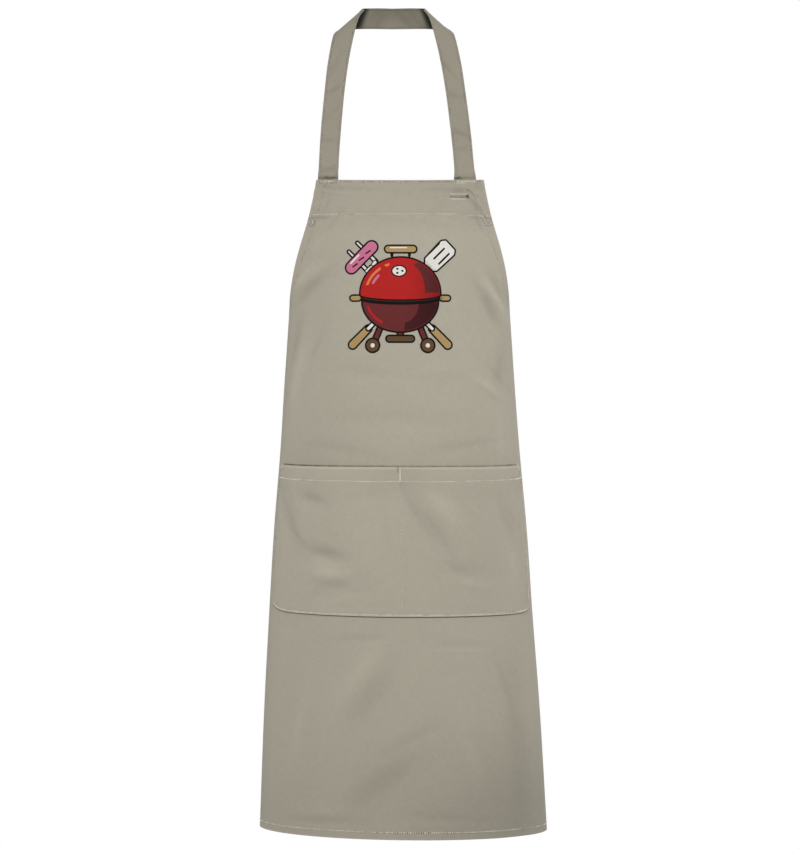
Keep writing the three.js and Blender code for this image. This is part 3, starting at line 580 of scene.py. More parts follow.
def turned_cloth(name, across, down, keep=None):
    """Cloth turned in behind the panel, pressed against its inner face."""
    lift = panel_lift(across, down) + TURNED_LIFT
    outer, inner = worn(across, down, lift), worn(across, down, lift - TURNED_CLOTH)
    # the turned cloth gets a little painted shade
    look = {"material": panel_cotton, "slot": "panel_cotton", "shaded": 0.06}
    piece = add_cloth(name, outer, inner, (across, down), keep=keep, **look)
    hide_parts(name)
    return piece


across, down = panel_grid(rows[rows <= BAND_DEPTH])
first = len(EDGE_MARKS) - 2
across, down = across[:, first:-first], down[:, first:-first]
turned_edges = [turned_cloth("top_band", across, down, outside_slit(across, down))]

HEM_MARKS = np.array([0, 0.8, 4, 8, 12, 13.6, EDGE_HEM])
for kind, low, high in (("armhole", 0, WAIST_DROP), ("side", WAIST_DROP, LENGTH - BOTTOM_HEM)):
    for side, word in ((-1, "left"), (1, "right")):
        hem_rows = places([low + 0.4, low + 1.2, high - 1.2, high - 0.4], 4.5)
        edge = panel_half_width(hem_rows)[:, None]
        across = np.sort(side * (edge - HEM_MARKS), axis=1)
        down = np.broadcast_to(hem_rows[:, None], across.shape)
        turned_edges.append(turned_cloth(f"{kind}_hem_{word}", across, down))

hem_rows = LENGTH - np.array([BOTTOM_HEM, BOTTOM_HEM - 0.9, 9.4, 8, 4, 0.8, 0])
turned_edges.append(turned_cloth("bottom_hem", *panel_grid(hem_rows)))


# ---------------------------------------------------------------------------------------------
# Neck strap: one folded band of the same twill, edge-stitched, over both shoulders and round the
# nape. Both ends are sewn flat behind the bib's top band
STRAP_WIDTH = 29.5
STRAP_CLOTH = 1.4
STRAP_SEAT = 97.5
STRAP_SEAT_SHIFT = -5
STRAP_TUCK = 22
STRAP_LIFT = -3.0
STRAP_STITCH = 2.6
STRAP_OUTER = 1.3
STRAP_INNER = 0.05
EDGE_ROUNDING = 0.9
LEFT_FLARE = 0.03
RIGHT_FLARE = 0.09
FLARE_REACH = 10

# out, forward, down as shares of the strap's seat; its rule's x, y, z in strap widths
STRAP_ROWS = np.array([
    [0.0, 0.0, 0.0, 0.0, 0.0, 1.0],
    [0.286, 0.037, 0.0015, -0.2, 0.03, 1.01],
    [0.508, 0.157, 0.015, -0.54, 0.24, 1.04],
    [0.628, 0.335, 0.04, -1.02, 0.41, 1.1],
    [0.655, 0.44, 0.057, -1.36, 0.41, 1.14],
    [0.71, 0.51, 0.097, -1.25, 0.37, 1.06],
    [0.814, 0.635, 0.275, -1.08, 0.26, 0.64],
    [0.892, 0.765, 0.496, -0.98, 0.22, 0.4],
    [0.959, 0.892, 0.761, -0.94, 0.25, 0.17],
])


def curve(knots, at):
    """Centripetal Catmull-Rom curve through knots: each span's end slopes come from its neighbours,
    weighed by the square roots of the distances between them."""
    ends = [2 * knots[:1] - knots[1:2], knots, 2 * knots[-1:] - knots[-2:-1]]
    knots = np.concatenate(ends)
    k = np.minimum(at.astype(int), len(knots) - 4)
    t = (at - k)[:, None]
    a, b, c, d = (knots[k + shift] for shift in range(4))
    before, here, after = (
        np.sqrt(np.linalg.norm(high - low, axis=1))[:, None] for low, high in ((a, b), (b, c), (c, d))
    )
    leave = ((b - a) / before - (c - a) / (before + here) + (c - b) / here) * here
    reach = ((c - b) / here - (d - b) / (here + after) + (d - c) / after) * here
    cubic, square = 2 * b - 2 * c + leave + reach, 3 * c - 3 * b - 2 * leave - reach
    return b + t * (leave + t * (square + t * cubic))


def strap_seat(side, across_strap, down=0.0):
    """Point of the strap's inner face behind the bib."""
    across = STRAP_SEAT_SHIFT + side * (STRAP_SEAT - across_strap * STRAP_WIDTH)
    return worn(across, down, STRAP_LIFT - STRAP_CLOTH)


def strap_side(side, steps):
    """Lower and upper edge of the strap's inner face, from the nape to the end behind the bib."""
    seat, other = strap_seat(side, 0.0), strap_seat(-side, 0.0)
    spread, drift = abs(seat[0] - other[0]) / 2, (seat[0] + other[0]) / 2
    out, forward, drop = STRAP_ROWS[:, 0], STRAP_ROWS[:, 1], STRAP_ROWS[:, 2]
    middle = np.stack([side * out * spread + drop * drift, forward * seat[1], drop * seat[2]], -1)
    rule = STRAP_ROWS[:, 3:] * [side, 1, 1] * STRAP_WIDTH
    edges = []
    for half in (-0.5, 0.5):
        knots = np.concatenate([middle + half * rule, strap_seat(side, half)[None]])
        free = curve(knots, np.linspace(0, len(knots) - 1, steps))
        tuck = [strap_seat(side, half, drop) for drop in np.linspace(0, STRAP_TUCK, 8)[1:]]
        edges.append(np.concatenate([free, tuck]))
    return np.stack(edges, 1)


def run_along(line):
    """Length of a line of points up to each of them."""
    return np.concatenate([[0], np.cumsum(np.linalg.norm(np.diff(line, axis=0), axis=1))])


left_side, right_side = strap_side(-1, 150), strap_side(1, 150)
strap_rules = np.concatenate([left_side[:0:-1], right_side])
strap_middle = strap_rules.mean(axis=1)
strap_run = run_along(strap_middle)
strap_length = strap_run[-1]

# Creases of the strap: across from its lower edge, along from its left end, turn, length, width, height
STRAP_CREASES = np.array([
    [15, 25.5, 8, 34, 4, -2.4],
    [12, 30, -10, 26, 5, 1.6],
    [16, 39, 14, 34, 6, -2.08],
    [12, 82, -12, 26, 6, -1.44],
    [15, 158, 10, 22, 6, -1.92],
    [12, 120, 38, 40, 8, -1.28],
    [8, 196, 60, 40, 7, -1.28],
    [24, strap_length - 25, -10, 16, 5, -2.56],
    [12, strap_length - 33, 8, 28, 6, 1.12],
    [18, strap_length - 68, 10, 20, 5, -1.6],
    [18, strap_length - 91, -14, 34, 6, -2.08],
    [20, strap_length - 148, 6, 22, 6, -2.08],
    [24, strap_length - 190, -48, 26, 6, -2.4],
    [17, strap_length - 200, -48, 30, 7, 1.44],
    [10, strap_length / 2 - 90, 62, 40, 7, -1.44],
    [20, strap_length / 2 - 108, 58, 40, 6, 0.96],
    [12, strap_length / 2 + 92, -62, 40, 7, -1.44],
    [20, strap_length / 2 + 110, -55, 40, 6, 0.96],
    [12, strap_length / 2 - 22, 24, 40, 7, -1.12],
    [17, strap_length / 2 + 12, -38, 40, 7, -1.44],
    [10, strap_length / 2 + 30, -30, 34, 6, 1.12],
])


def between(run, points, at):
    """Points at places along a run, straight between the given ones."""
    return np.stack([np.interp(at, run, column) for column in points.T], -1)


def on_strap(across, along, lift=0.0):
    """Point over the strap's inner face: along its run, across from its lower edge, and off it
    squarely, with the strap's creases. Both feet are spread a little where they are sewn."""
    low, high = (between(strap_run, strap_rules[:, edge], along) for edge in (0, 1))
    ahead = between(strap_run, strap_middle, along + 2) - between(strap_run, strap_middle, along - 2)
    out = unit(np.cross(high - low, ahead))
    beside_seam = np.minimum(across, STRAP_WIDTH - across) - STRAP_STITCH
    stand = lift + fold_height(STRAP_CREASES, across, along) + pucker(along, beside_seam, 0.25, 1.6)
    from_left, from_right = along - STRAP_TUCK - 2, strap_length - along - STRAP_TUCK - 2
    flare = LEFT_FLARE * bell(from_left, FLARE_REACH) + RIGHT_FLARE * bell(from_right, FLARE_REACH)
    share = 0.5 + (across / STRAP_WIDTH - 0.5) * (1 + flare)
    return low + (high - low) * share[..., None] + out * stand[..., None]


def band_columns(near_edge, width):
    """Places across a narrow band of cloth: the same ones from both of its edges, and its middle."""
    near_edge = np.array(near_edge)
    return np.concatenate([near_edge, [width / 2], width - near_edge[::-1]])


foot_marks = STRAP_TUCK + np.arange(0, 7, 0.8)
strap_places = places([0, *foot_marks, *(strap_length - foot_marks[::-1]), strap_length], 2.9)
strap_columns = band_columns([0, 0.6, 1.6, STRAP_STITCH, 3.6, 5.5, 9, 12], STRAP_WIDTH)
along, across = np.meshgrid(strap_places, strap_columns, indexing="ij")
# the strap, the ties and the bow are the same twill in a darker tone than the panel's
strap_cotton = cotton_twill("strap_cotton_twill", "#979182")

# painted shade: dark lines at the feet, the hollows of the creases, a dim nape, and its inner face folded
# over
from_end, off_nape = np.minimum(along, strap_length - along), along - strap_length / 2
foot_line = STRAP_TUCK + 3.6 + 0.8 * np.sin(across / 1.6)
left_foot = 0.97 * np.clip((across - 2) / 12, 0.45, 1) * (0.86 + 0.14 * np.sin(across / 1.3))
right_foot = 0.3 + 0.65 * ramp(across, 19, 23)
foot_shade = np.where(off_nape < 0, left_foot, right_foot) * bell(from_end - foot_line, 1.3)
nape = bell(off_nape**2, 92**2)
turned_over = bell((np.abs(off_nape) - 59) ** 2, 13.5**2)
hollow = np.clip(-0.06 * fold_height(STRAP_CREASES, across, along), 0, DEEPEST_HOLLOW)
neck_strap = add_cloth(
    "neck_strap",
    on_strap(across, along, STRAP_OUTER),
    on_strap(across, along, STRAP_INNER),
    (across, along),
    strap_cotton,
    "strap_cotton",
    # lighter edges, partly by wear and partly by a painted highlight
    rubbed_and_highlighted=0.25 * bell(np.minimum(across, STRAP_WIDTH - across), EDGE_ROUNDING) * (1 - nape),
    shaded=np.maximum(0.05 * nape + hollow, foot_shade),
    shaded_behind=0.98 * turned_over,
)
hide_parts("neck_strap")


# ---------------------------------------------------------------------------------------------
# Belly pocket: one wide piece sewn down at its sides, its bottom and its middle line, so that two
# halves stand a little open. Its mouth is turned in and hemmed
POCKET_DEPTH = 205
POCKET_GAPE = 16
POCKET_STITCH = 2.7
MOUTH_STITCH = 18.6
MOUTH_HEM = 19.5
POCKET_OUTER = 1.2
POCKET_INNER = 0.25
DENT_FADING = 0.3

POCKET_SIDES = np.array([[0.0, 0.9], [0.12, 0.945], [0.3, 0.985], [0.7, 1.0], [1.0, 1.0]])

# Dents and swellings: across, down, turn, length, width, height
POCKET_DENTS = np.array([
    [-161.0, 474.0, 67, 88, 20, -7.4],
    [-120.1, 443.5, 20, 40, 21, -3.4],
    [-102.2, 517.7, 10, 50, 18, -5.85],
    [-102.9, 545.7, 5, 60, 21, 5.2],
    [-92.0, 565.6, -21, 80, 18, -4.55],
    [34.0, 474.0, 55, 105, 21, -6.0],
    [56.6, 457.0, 46, 80, 27, 5.2],
    [86.0, 540.3, 8, 60, 20, -3.2],
    [158.8, 476.0, 70, 60, 24, -5.85],
    [167.9, 543.0, 80, 60, 21, 4.55],
    # fine creases
    [-160.0, 436.0, 70, 50, 7, -2.9],
    [-184.0, 470.0, 80, 60, 6, 2.24],
    [-148.0, 496.0, 40, 60, 8, -2.56],
    [-118.0, 441.0, 20, 24, 8, -1.3],
    [-55.0, 566.0, -10, 34, 10, -2.56],
    [-20.0, 480.0, 84, 70, 10, -2.08],
    [20.0, 460.0, 62, 60, 8, -2.56],
    [60.0, 500.0, 60, 60, 8, -1.2],
    [76.0, 538.0, 35, 60, 7, -1.3],
    [110.0, 560.0, 10, 60, 10, 1.76],
    [140.0, 450.0, 75, 50, 9, -2.08],
    [181.0, 500.0, 84, 70, 7, -2.24],
    [-60.0, 588.0, -2, 110, 7, -1.28],
    [70.0, 590.0, 3, 120, 7, -1.28],
])


def pocket_place(share, below):
    """Place on the cloth of a point of the pocket: its share of the half width, and how far it is
    below the mouth. The mouth's ends rise a little, and so do the bottom corners."""
    fall = below / POCKET_DEPTH
    across = share * POCKET_HALF_WIDTH * smooth(POCKET_SIDES, np.clip(fall, 0, 1))[..., 1]
    left, right = 3.2 * share**2 + 10.5 * share**16, 2 * share**2 + 5 * share**16
    rise = np.where(share < 0, left, right) * fall**3 + 2.4 * share**4 * (1 - fall) ** 3
    return across, MOUTH_DROP + below - rise


def mouth_seam(share):
    """How far below the mouth its hem is sewn: a little less at the ends."""
    return MOUTH_STITCH + 1.1 - 2.2 * share**2


def on_pocket(share, below, lift=0.0):
    """Point over the pocket's inner face: sewn down at the rim and the middle, full between, most at
    the mouth, with dents that fade towards the bottom."""
    across, down = pocket_place(share, below)
    half, open_share = np.minimum(np.abs(share), 1), ramp(below, POCKET_DEPTH, 0)
    slope, hem_end = 4.2 + 20 * np.sin(np.pi * half) ** 0.5, MOUTH_HEM + 1.3
    seat = 0.3 + 1.5 * ramp(below, hem_end + slope, hem_end)
    dents = fold_height(POCKET_DENTS, across, down)
    swell = POCKET_GAPE * open_share**1.3 + dents * open_share**DENT_FADING
    fullness = 0.7 + 0.55 * ramp(below, 0, 45)
    full = seat + np.maximum(np.sin(np.pi * half) ** fullness * swell, 0)
    ripples = pucker(below, (1 - half) * POCKET_HALF_WIDTH - POCKET_STITCH, 0.3, 2)
    ripples = ripples + pucker(below + 9, share * POCKET_HALF_WIDTH, 0.15, 2)
    ripples = ripples + pucker(across, below - mouth_seam(share), 0.22, 2.4)
    ripples = ripples + pucker(across + 23, POCKET_DEPTH - POCKET_STITCH - below, 0.3, 2)
    return worn(across, down, full + lift + ripples + panel_lift(across, down))


def halves(marks, step):
    """Even places from 0 outwards with marks among them, and the same on the left."""
    right = places(marks, step)
    return np.concatenate([-right[:0:-1], right])


share_columns = halves([0, 1.2, 3, 6, 196, 200, 202.3, 204.2, 205], 3.6) / POCKET_HALF_WIDTH
hem_marks = [0, 0.8, 1.6, 2.4, 3.4, 16.6, 17.2, 17.8, 18.4, 19, 19.6, 20.2, 20.8, 21.8, 22.8, 24, 25.4]
foot_marks = [198, 201, 202, 203, 203.8, 204.2, POCKET_DEPTH]
share, below = np.meshgrid(share_columns, places([*hem_marks, *foot_marks], 3.6))
cloth = across, down = pocket_place(share, below)
off_middle = share * POCKET_HALF_WIDTH
from_edge = np.minimum(POCKET_DEPTH - below, (1 - np.abs(share)) * POCKET_HALF_WIDTH)
dents = fold_height(POCKET_DENTS, across, down) * ramp(below, POCKET_DEPTH, 0) ** DENT_FADING
# lighter lines: distance, reach, share, where
light_lines = soft_lines(
    [
        (from_edge - 1.4, 0.8, 4.0, 1),  # lighter rim, partly by wear and partly by a painted highlight
        (below - 1.6, 0.9, 2.8, 1),  # lighter mouth, partly by wear and partly by a painted highlight
        (below - mouth_seam(share) - 0.4, 1.2, 0.7, 1),  # painted highlight on the ridge of the mouth's hem
        (off_middle, 1.5, 0.5, below < MOUTH_HEM),  # painted highlight on the ridge of the middle seam at the mouth
    ]
)
# painted shade beside the middle seam at the mouth, and a painted shadow along the bottom edge
middle_seam_shade = soft_lines([(off_middle + 3, 1.2, 0.32, below < 9)])
bottom_edge_shadow = 0.88 * ramp(below, POCKET_DEPTH - 0.4, POCKET_DEPTH)
pocket = add_cloth(
    "pocket",
    on_pocket(share, below, POCKET_OUTER),
    on_pocket(share, below, POCKET_INNER),
    cloth,
    panel_cotton,
    "panel_cotton",
    # painted light: the humps catch it, and the left half stands a little more in it
    # painted shade: the hollows, the middle seam's step and the bottom edge
    rubbed_and_highlighted=sum(light_lines) + np.clip(0.18 * dents, 0, 1) + 0.32 * ramp(-off_middle, 0, 60),
    shaded=np.maximum.reduce([*middle_seam_shade, bottom_edge_shadow, np.clip(-0.017 * dents, 0, 0.115)]),
)
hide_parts("pocket")

hem_rows = np.array([0.4, 1.2, 5, 10, 15, 18, MOUTH_HEM - 0.8, MOUTH_HEM])
share, below = np.meshgrid(share_columns[4:-4], hem_rows)
outer, inner = on_pocket(share, below, 0.3), on_pocket(share, below, -0.9)
cloth = pocket_place(share, below)
# the hem inside the mouth gets a little painted shade
pocket_hem = add_cloth("pocket_hem", outer, inner, cloth, panel_cotton, "panel_cotton", shaded=0.1)
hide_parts("pocket_hem")


# ---------------------------------------------------------------------------------------------
# Waist ties and their bow: two narrow bands of the same twill, sewn behind the waist corners, led
# round the back and tied in a bow whose tails hang. The knot gathers the bands
TIE_WIDTH = 25
TIE_TUCK = 32
TIE_TOP = WAIST_DROP + 3
KNOT_WIDTH = 22
KNOT_THICKNESS = 13
LOOP_LENGTH = 108
LOOP_THICKNESS = 24
LOOP_DROOP = math.radians(24)
LOOP_STAND = 12
TAIL_LENGTH = 430
TAIL_SPLAY = math.radians(5)
LOOP_POINTS = 90
TAIL_POINTS = 130


def section_at(down):
    """Half width, depth, front and middle of the worn ellipse at one height."""
    shares = smooth(SECTIONS, np.array(down / LENGTH))[1:]
    return shares * [WORN_HALF_WIDTH, WORN_DEPTH, -FRONT_REACH, HANG_SHIFT]


half_width, depth, _, back_middle = section_at(TIE_TOP)
turn = math.pi * (PLACES + 1) / 2
speed = np.hypot(half_width * np.cos(turn), depth * np.sin(turn))
back_length = float((speed * WEIGHTS).sum() * math.pi / 2)
tie_length = back_length - KNOT_WIDTH / 2 + 2 - WAIST_HALF_WIDTH + TIE_TUCK


def on_tie(side, along, across, lift):
    """Point of a waist tie: along from its hidden end round the back, across from its upper edge,
    with shallow creases near the knot and beside the seam."""
    start = panel_half_width(TIE_TOP + across) - TIE_TUCK
    gather = ramp(along, tie_length - 60, tie_length) ** 2
    middle = TIE_WIDTH / 2
    drop = middle + (across - middle) * (1 - 0.16 * gather) + 1.2 * np.sin(along / 31) * (1 - gather)
    waves = 0.5 * np.sin(along / 23 + across / 6) + gather * 1.1 * np.cos(4 * np.pi * across / TIE_WIDTH)
    waves = waves * ramp(along, TIE_TUCK, TIE_TUCK + 12)
    return worn(side * (start + along), TIE_TOP + drop, lift - waves)


tie_columns = band_columns([0, 0.6, 1.6, 2.6, 4, 6.5, 9.5], TIE_WIDTH)
for side, word in ((-1, "left"), (1, "right")):
    run = np.linspace(0, tie_length, 60)[::side]
    across, along = np.meshgrid(tie_columns, run, indexing="ij")
    outer, inner = on_tie(side, along, across, -2.4), on_tie(side, along, across, -3.7)
    # lighter edges, partly by wear and partly by a painted highlight
    rubbed_and_highlighted = bell(np.minimum(across, TIE_WIDTH - across), EDGE_ROUNDING)
    look = {"material": strap_cotton, "slot": "strap_cotton", "rubbed_and_highlighted": rubbed_and_highlighted}
    waist_tie = add_cloth(f"waist_tie_{word}", outer, inner, (across, along), **look)
    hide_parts(f"waist_tie_{word}")


def ribbon(line, widthways, width, waves):
    """Closed band of cloth along a line of points: its width lies along one direction, and its waves
    and its thickness stand off it squarely."""
    out = unit(np.cross(widthways, np.gradient(line, axis=0)))[:, None]
    share = tie_columns / TIE_WIDTH - 0.5
    flat = line[:, None] + widthways * (width[:, None] * share)[..., None] + out * waves[..., None]
    points, faces, source = closed_cloth(flat + 0.6 * out, flat - 0.6 * out)
    run = run_along(line)
    along, across = np.broadcast_arrays(run[:, None], tie_columns[None])
    return points, faces, np.stack([across, along], -1).reshape(-1, 2)[source], run[-1]


tie_seat = worn(back_length, TIE_TOP + TIE_WIDTH / 2, -3.0)
knot = np.array([back_middle, tie_seat[1] + KNOT_THICKNESS / 4, tie_seat[2]])
bow_parts, bow_run = [], 0.0
share = tie_columns / TIE_WIDTH
for side in (-1, 1):
    outward = np.array([side * math.cos(LOOP_DROOP), 0, -math.sin(LOOP_DROOP)])
    widthways = np.array([side * math.sin(LOOP_DROOP), 0, math.cos(LOOP_DROOP)])
    turn = np.linspace(0, 2 * math.pi, LOOP_POINTS)
    reach = LOOP_LENGTH * (1 - np.cos(turn)) / 2
    swell = LOOP_THICKNESS / 2 * np.sin(turn) * np.sin(turn / 2) + LOOP_STAND * np.sin(turn / 2)
    line = knot + [0, KNOT_THICKNESS / 4, 0] + reach[:, None] * outward + swell[:, None] * [0, 1, 0]
    line[:, 1] += 1.2 * np.linspace(-1, 1, LOOP_POINTS) ** 3
    gather = bell(reach, 26)
    waves = 1.5 * gather[:, None] * np.cos(3 * np.pi * share) + 0.5 * np.sin(reach / 14)[:, None] * share
    bow_parts.append(ribbon(line, widthways, TIE_WIDTH * (1 - 0.36 * gather), waves))

    downward = np.array([side * math.sin(TAIL_SPLAY), 0, -math.cos(TAIL_SPLAY)])
    widthways = np.array([math.cos(TAIL_SPLAY), 0, side * math.sin(TAIL_SPLAY)])
    part = np.linspace(0, 1, TAIL_POINTS)
    sway = KNOT_THICKNESS / 4 * side * (1 + np.sin(np.pi * part)) + 2.2 * np.sin(9 * part + side) * part
    line = knot + (TAIL_LENGTH * part)[:, None] * downward + sway[:, None] * [0, 1, 0]
    gather, sweep = bell(TAIL_LENGTH * part, 34), np.sin(11 * part + 2 * side)
    waves = 1.3 * gather[:, None] * np.cos(3 * np.pi * share) + 0.8 * sweep[:, None] * share
    bow_parts.append(ribbon(line, widthways, TIE_WIDTH * (1 - 0.4 * gather), waves))

# the knot: a band wound round the others, fuller in its middle, with slanted creases
turn, station = np.meshgrid(np.linspace(0, 2 * math.pi, 49)[:-1], np.linspace(-1, 1, 25))
roll = np.cos(math.pi / 2 * station) ** 0.32 + 0.001
crease = 1 + 0.05 * np.sin(7 * station + 2 * turn) * np.cos(math.pi / 2 * station)
half_thick, half_tall = KNOT_THICKNESS / 2 * 1.04, (TIE_WIDTH / 2 + 1) * 1.03
rounding = 2 / 3
side_y = np.sign(np.cos(turn)) * np.abs(np.cos(turn)) ** rounding * half_thick * roll * crease
side_z = np.sign(np.sin(turn)) * np.abs(np.sin(turn)) ** rounding * half_tall * roll**0.6 * crease
knot_points = knot + np.stack([station * KNOT_WIDTH / 2, side_y, side_z], -1).reshape(-1, 3)
ids = np.arange(turn.size).reshape(turn.shape)
beside = np.roll(ids, -1, axis=1)
quads = np.stack([ids[:-1], ids[1:], beside[1:], beside[:-1]], -1).reshape(-1, 4)
caps = [ids[0].tolist(), ids[-1, ::-1].tolist()]
knot_cloth = np.stack([turn * 9, station * KNOT_WIDTH], -1).reshape(-1, 2)

points, cloth, faces, first = [knot_points], [knot_cloth], quads.tolist() + caps, len(knot_points)
for part_points, part_faces, part_cloth, run in bow_parts:
    points.append(part_points)
    cloth.append(part_cloth)
    faces += (part_faces + first).tolist()
    first += len(part_points)
    bow_run += run
points, cloth = np.concatenate(points), np.concatenate(cloth)
tie_bow = add_piece("tie_bow", points, faces, [strap_cotton], cloth)
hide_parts("tie_bow")


# ---------------------------------------------------------------------------------------------
# Stitches: single rows of pale cotton thread along every hem and seam, on both faces of the cloth.
# Each stitch is a short thread that dips into the cloth at both ends, beside a dark speck that paints the
# needle hole's shadow
STITCH_PITCH = 2.9
# along the band, the bottom and the strap's feet the stitches are drawn a little farther apart and
# thicker than the real ones, so that single ones show
SHOWN_PITCH = 3.2
MIDDLE_PITCH = 4.4
STEP_AHEAD = 0.4

# length, width and height of each kind of stitch, and of the dark speck beside it that paints the needle
# hole's shadow
BOLD_STITCH = (2.1, 1.5, 0.9)
POCKET_STITCH_SIZE = (1.9, 1.5, 0.9)
HEM_STITCH_SIZE = (1.8, 1.0, 0.5)
SIDE_STITCH_SIZE = (1.5, 0.8, 0.5)
STRAP_STITCH_SIZE = (1.8, 1.05, 0.5)
INSIDE_STITCH_SIZE = (1.8, 1.2, 0.7)
HOLE_SHADOW_SIZE = (1.3, 1.3, 0.5)
SMALL_HOLE_SHADOW_SIZE = (1.1, 0.9, 0.26)


def threads(centre, along, out, length, width, height):
    """Points and faces of short rounded threads, all of one small form of six rings of six points:
    stretched to a length along one direction, a width across it and a height outwards, arched."""
    station = np.array([-1, -0.78, -0.3, 0.3, 0.78, 1])[:, None]
    girth = np.array([0.35, 0.82, 1, 1, 0.82, 0.35])[:, None]
    turn = np.arange(6)[None] * math.pi / 3
    forth = np.broadcast_to(station, (6, 6)).ravel()
    side = (girth * np.cos(turn)).ravel()
    up = (girth * np.sin(turn) + 1.1 * (1 - station**2) - 0.55).ravel()
    across = np.cross(out, along)
    length, width, height = (np.broadcast_to(a, len(centre))[:, None] / 2 for a in (length, width, height))
    points = centre[:, None] + sum(
        (size * share)[..., None] * way[:, None]
        for size, share, way in ((length, forth, along), (width, side, across), (height, up, out))
    )
    ring = np.arange(36).reshape(6, 6)
    beside = np.roll(ring, -1, axis=1)
    quads = np.stack([ring[:-1], beside[:-1], beside[1:], ring[1:]], -1).reshape(-1, 4)
    ends = [[3, 2, 1, 0], [5, 4, 3, 0], [30, 31, 32, 33], [30, 33, 34, 35]]
    faces = np.concatenate([quads, ends])[None] + 36 * np.arange(len(centre))[:, None, None]
    return points.reshape(-1, 3), faces.reshape(-1, 4)


def sewn(surface, first, second, facing=1, pitch=STITCH_PITCH, shift=0.5):
    """Places of stitches at an even pitch along a path over a surface, with the direction of the
    seam and of the outside at each. The path is given in the surface's two coordinates."""
    first, second = np.broadcast_arrays(np.asarray(first, float), np.asarray(second, float))
    path = surface(first, second)
    run = run_along(path)
    at = np.arange(pitch * shift, run[-1] - 0.5, pitch)
    a, b = np.interp(at, run, first), np.interp(at, run, second)
    ahead = at + STEP_AHEAD
    a_step, b_step = np.interp(ahead, run, first) - a, np.interp(ahead, run, second) - b
    centre = surface(a, b)
    along = unit(surface(a + a_step, b + b_step) - centre)
    side = surface(a - b_step, b + a_step) - centre
    return centre, along, facing * unit(np.cross(side, along))


def over_panel(lift):
    """The panel's surface at a height over its outer face."""
    return lambda across, down: worn(across, down, panel_lift(across, down) + lift)


def along_paths(surface, paths, **way):
    """Places of stitches along each of some paths over a surface."""
    return [sewn(surface, *path, **way) for path in paths]


def thread_piece(name, rows_of_stitches, material, size, spread=0.4):
    """One mesh of all the stitches of some rows, each a little thicker or thinner than the next."""
    centre, along, out = (np.concatenate(parts) for parts in zip(*rows_of_stitches))
    thick = np.random.default_rng(len(centre)).uniform(1 - spread, 1 + spread, len(centre))
    points, faces = threads(centre, along, out, size[0] * thick**0.3, size[1] * thick, size[2] * thick)
    return add_piece(name, points, faces, [material])


def cotton_thread(name, colour):
    """Spun cotton thread: one colour, matt, with fine twisted plies in the bump."""
    material = bpy.data.materials.new(name)
    material.use_nodes = True
    tree = material.node_tree
    shader = tree.nodes["Principled BSDF"]
    shader.inputs["Roughness"].default_value = 0.7
    shader.inputs["Sheen Weight"].default_value = 0.1
    place = add(tree, "TexCoord").outputs["Object"]
    fibres = add(tree, "TexNoise", {"Vector": place, "Scale": 1500, "Detail": 2}).outputs[0]
    tone = add(tree, "Math", {0: fibres, 1: 0.5, 2: 0.74}, operation="MULTIPLY_ADD").outputs[0]
    tint = add(tree, "VectorMath", {0: linear(colour)[:3], "Scale": tone}, operation="SCALE")
    tree.links.new(tint.outputs[0], shader.inputs["Base Color"])
    bump = add(tree, "Bump", {"Height": fibres, "Strength": 0.4, "Distance": 0.0001})
    tree.links.new(bump.outputs[0], shader.inputs["Normal"])
    return material


pale_thread = cotton_thread("pale_cotton_thread", "#E6E0D0")
khaki_thread = cotton_thread("khaki_cotton_thread", "#A8A291")
light_khaki_thread = cotton_thread("light_khaki_cotton_thread", "#C6C0AE")
# a darker copy of the khaki thread: painted shade for the stitches on the strap's inner face
shaded_khaki_thread = cotton_thread("khaki_cotton_thread_in_painted_shade", "#6E685B")
# a dark copy of the thread, for the specks that paint the shadow in each needle hole
hole_shade = cotton_thread("shaded_needle_hole", "#38342C")


def seam_paths():
    """Paths of the panel's seams: band, armholes, sides, bottom."""
    line = np.linspace(-1, 1, 300)
    band_edge = float(panel_half_width(np.array(BAND_STITCH))) - 1.5
    dip = 1.7 * ramp(line * band_edge, 88, 100)
    paths = [(line * band_edge, BAND_STITCH + dip), (line * (BIB_HALF_WIDTH - 2), 1.7 + 0 * line)]
    for low, high in ((1.5, WAIST_DROP - 1), (WAIST_DROP + 1, HEM_STITCH)):
        drop = np.linspace(low, high, 300)
        paths += [(side * (panel_half_width(drop) - EDGE_STITCH), drop) for side in (-1, 1)]
    hem_edge = float(panel_half_width(np.array(HEM_STITCH))) - 1.5
    return [*paths, (line * hem_edge, HEM_STITCH + 0 * line)]


# the number that a surface gets is the height of the threads' middles over the cloth
hem_paths = seam_paths()
paths = hem_paths[:1]
for tuck in TUCKS:
    corner = np.array(tuck, float)
    share = np.linspace(0, len(corner) - 1, 40)
    order = np.arange(len(corner))
    paths.append((np.interp(share, order, corner[:, 0]), np.interp(share, order, corner[:, 1])))
for side in (-1, 1):
    foot = STRAP_SEAT_SHIFT + side * STRAP_SEAT + np.linspace(-14, 14, 40)
    paths += [(foot, 1.7 + 0 * foot), (foot, 4.2 + 0.5 * np.sin(foot))]
shown_paths = [*paths, hem_paths[-1]]
shown_rows = along_paths(over_panel(0.2), shown_paths, pitch=SHOWN_PITCH)
thread_piece("band_stitches", shown_rows, pale_thread, BOLD_STITCH)
hem_seams = along_paths(over_panel(0.05), hem_paths[1:-1])
thread_piece("hem_stitches", hem_seams, light_khaki_thread, HEM_STITCH_SIZE)
hole_shadows = along_paths(over_panel(0.03), shown_paths, pitch=SHOWN_PITCH, shift=1.0)
hole_shadows += along_paths(over_panel(0.04), hem_paths[1:2], pitch=SHOWN_PITCH)
small_hole_shadows = along_paths(over_panel(0.02), hem_paths[2:-1], shift=1.0)

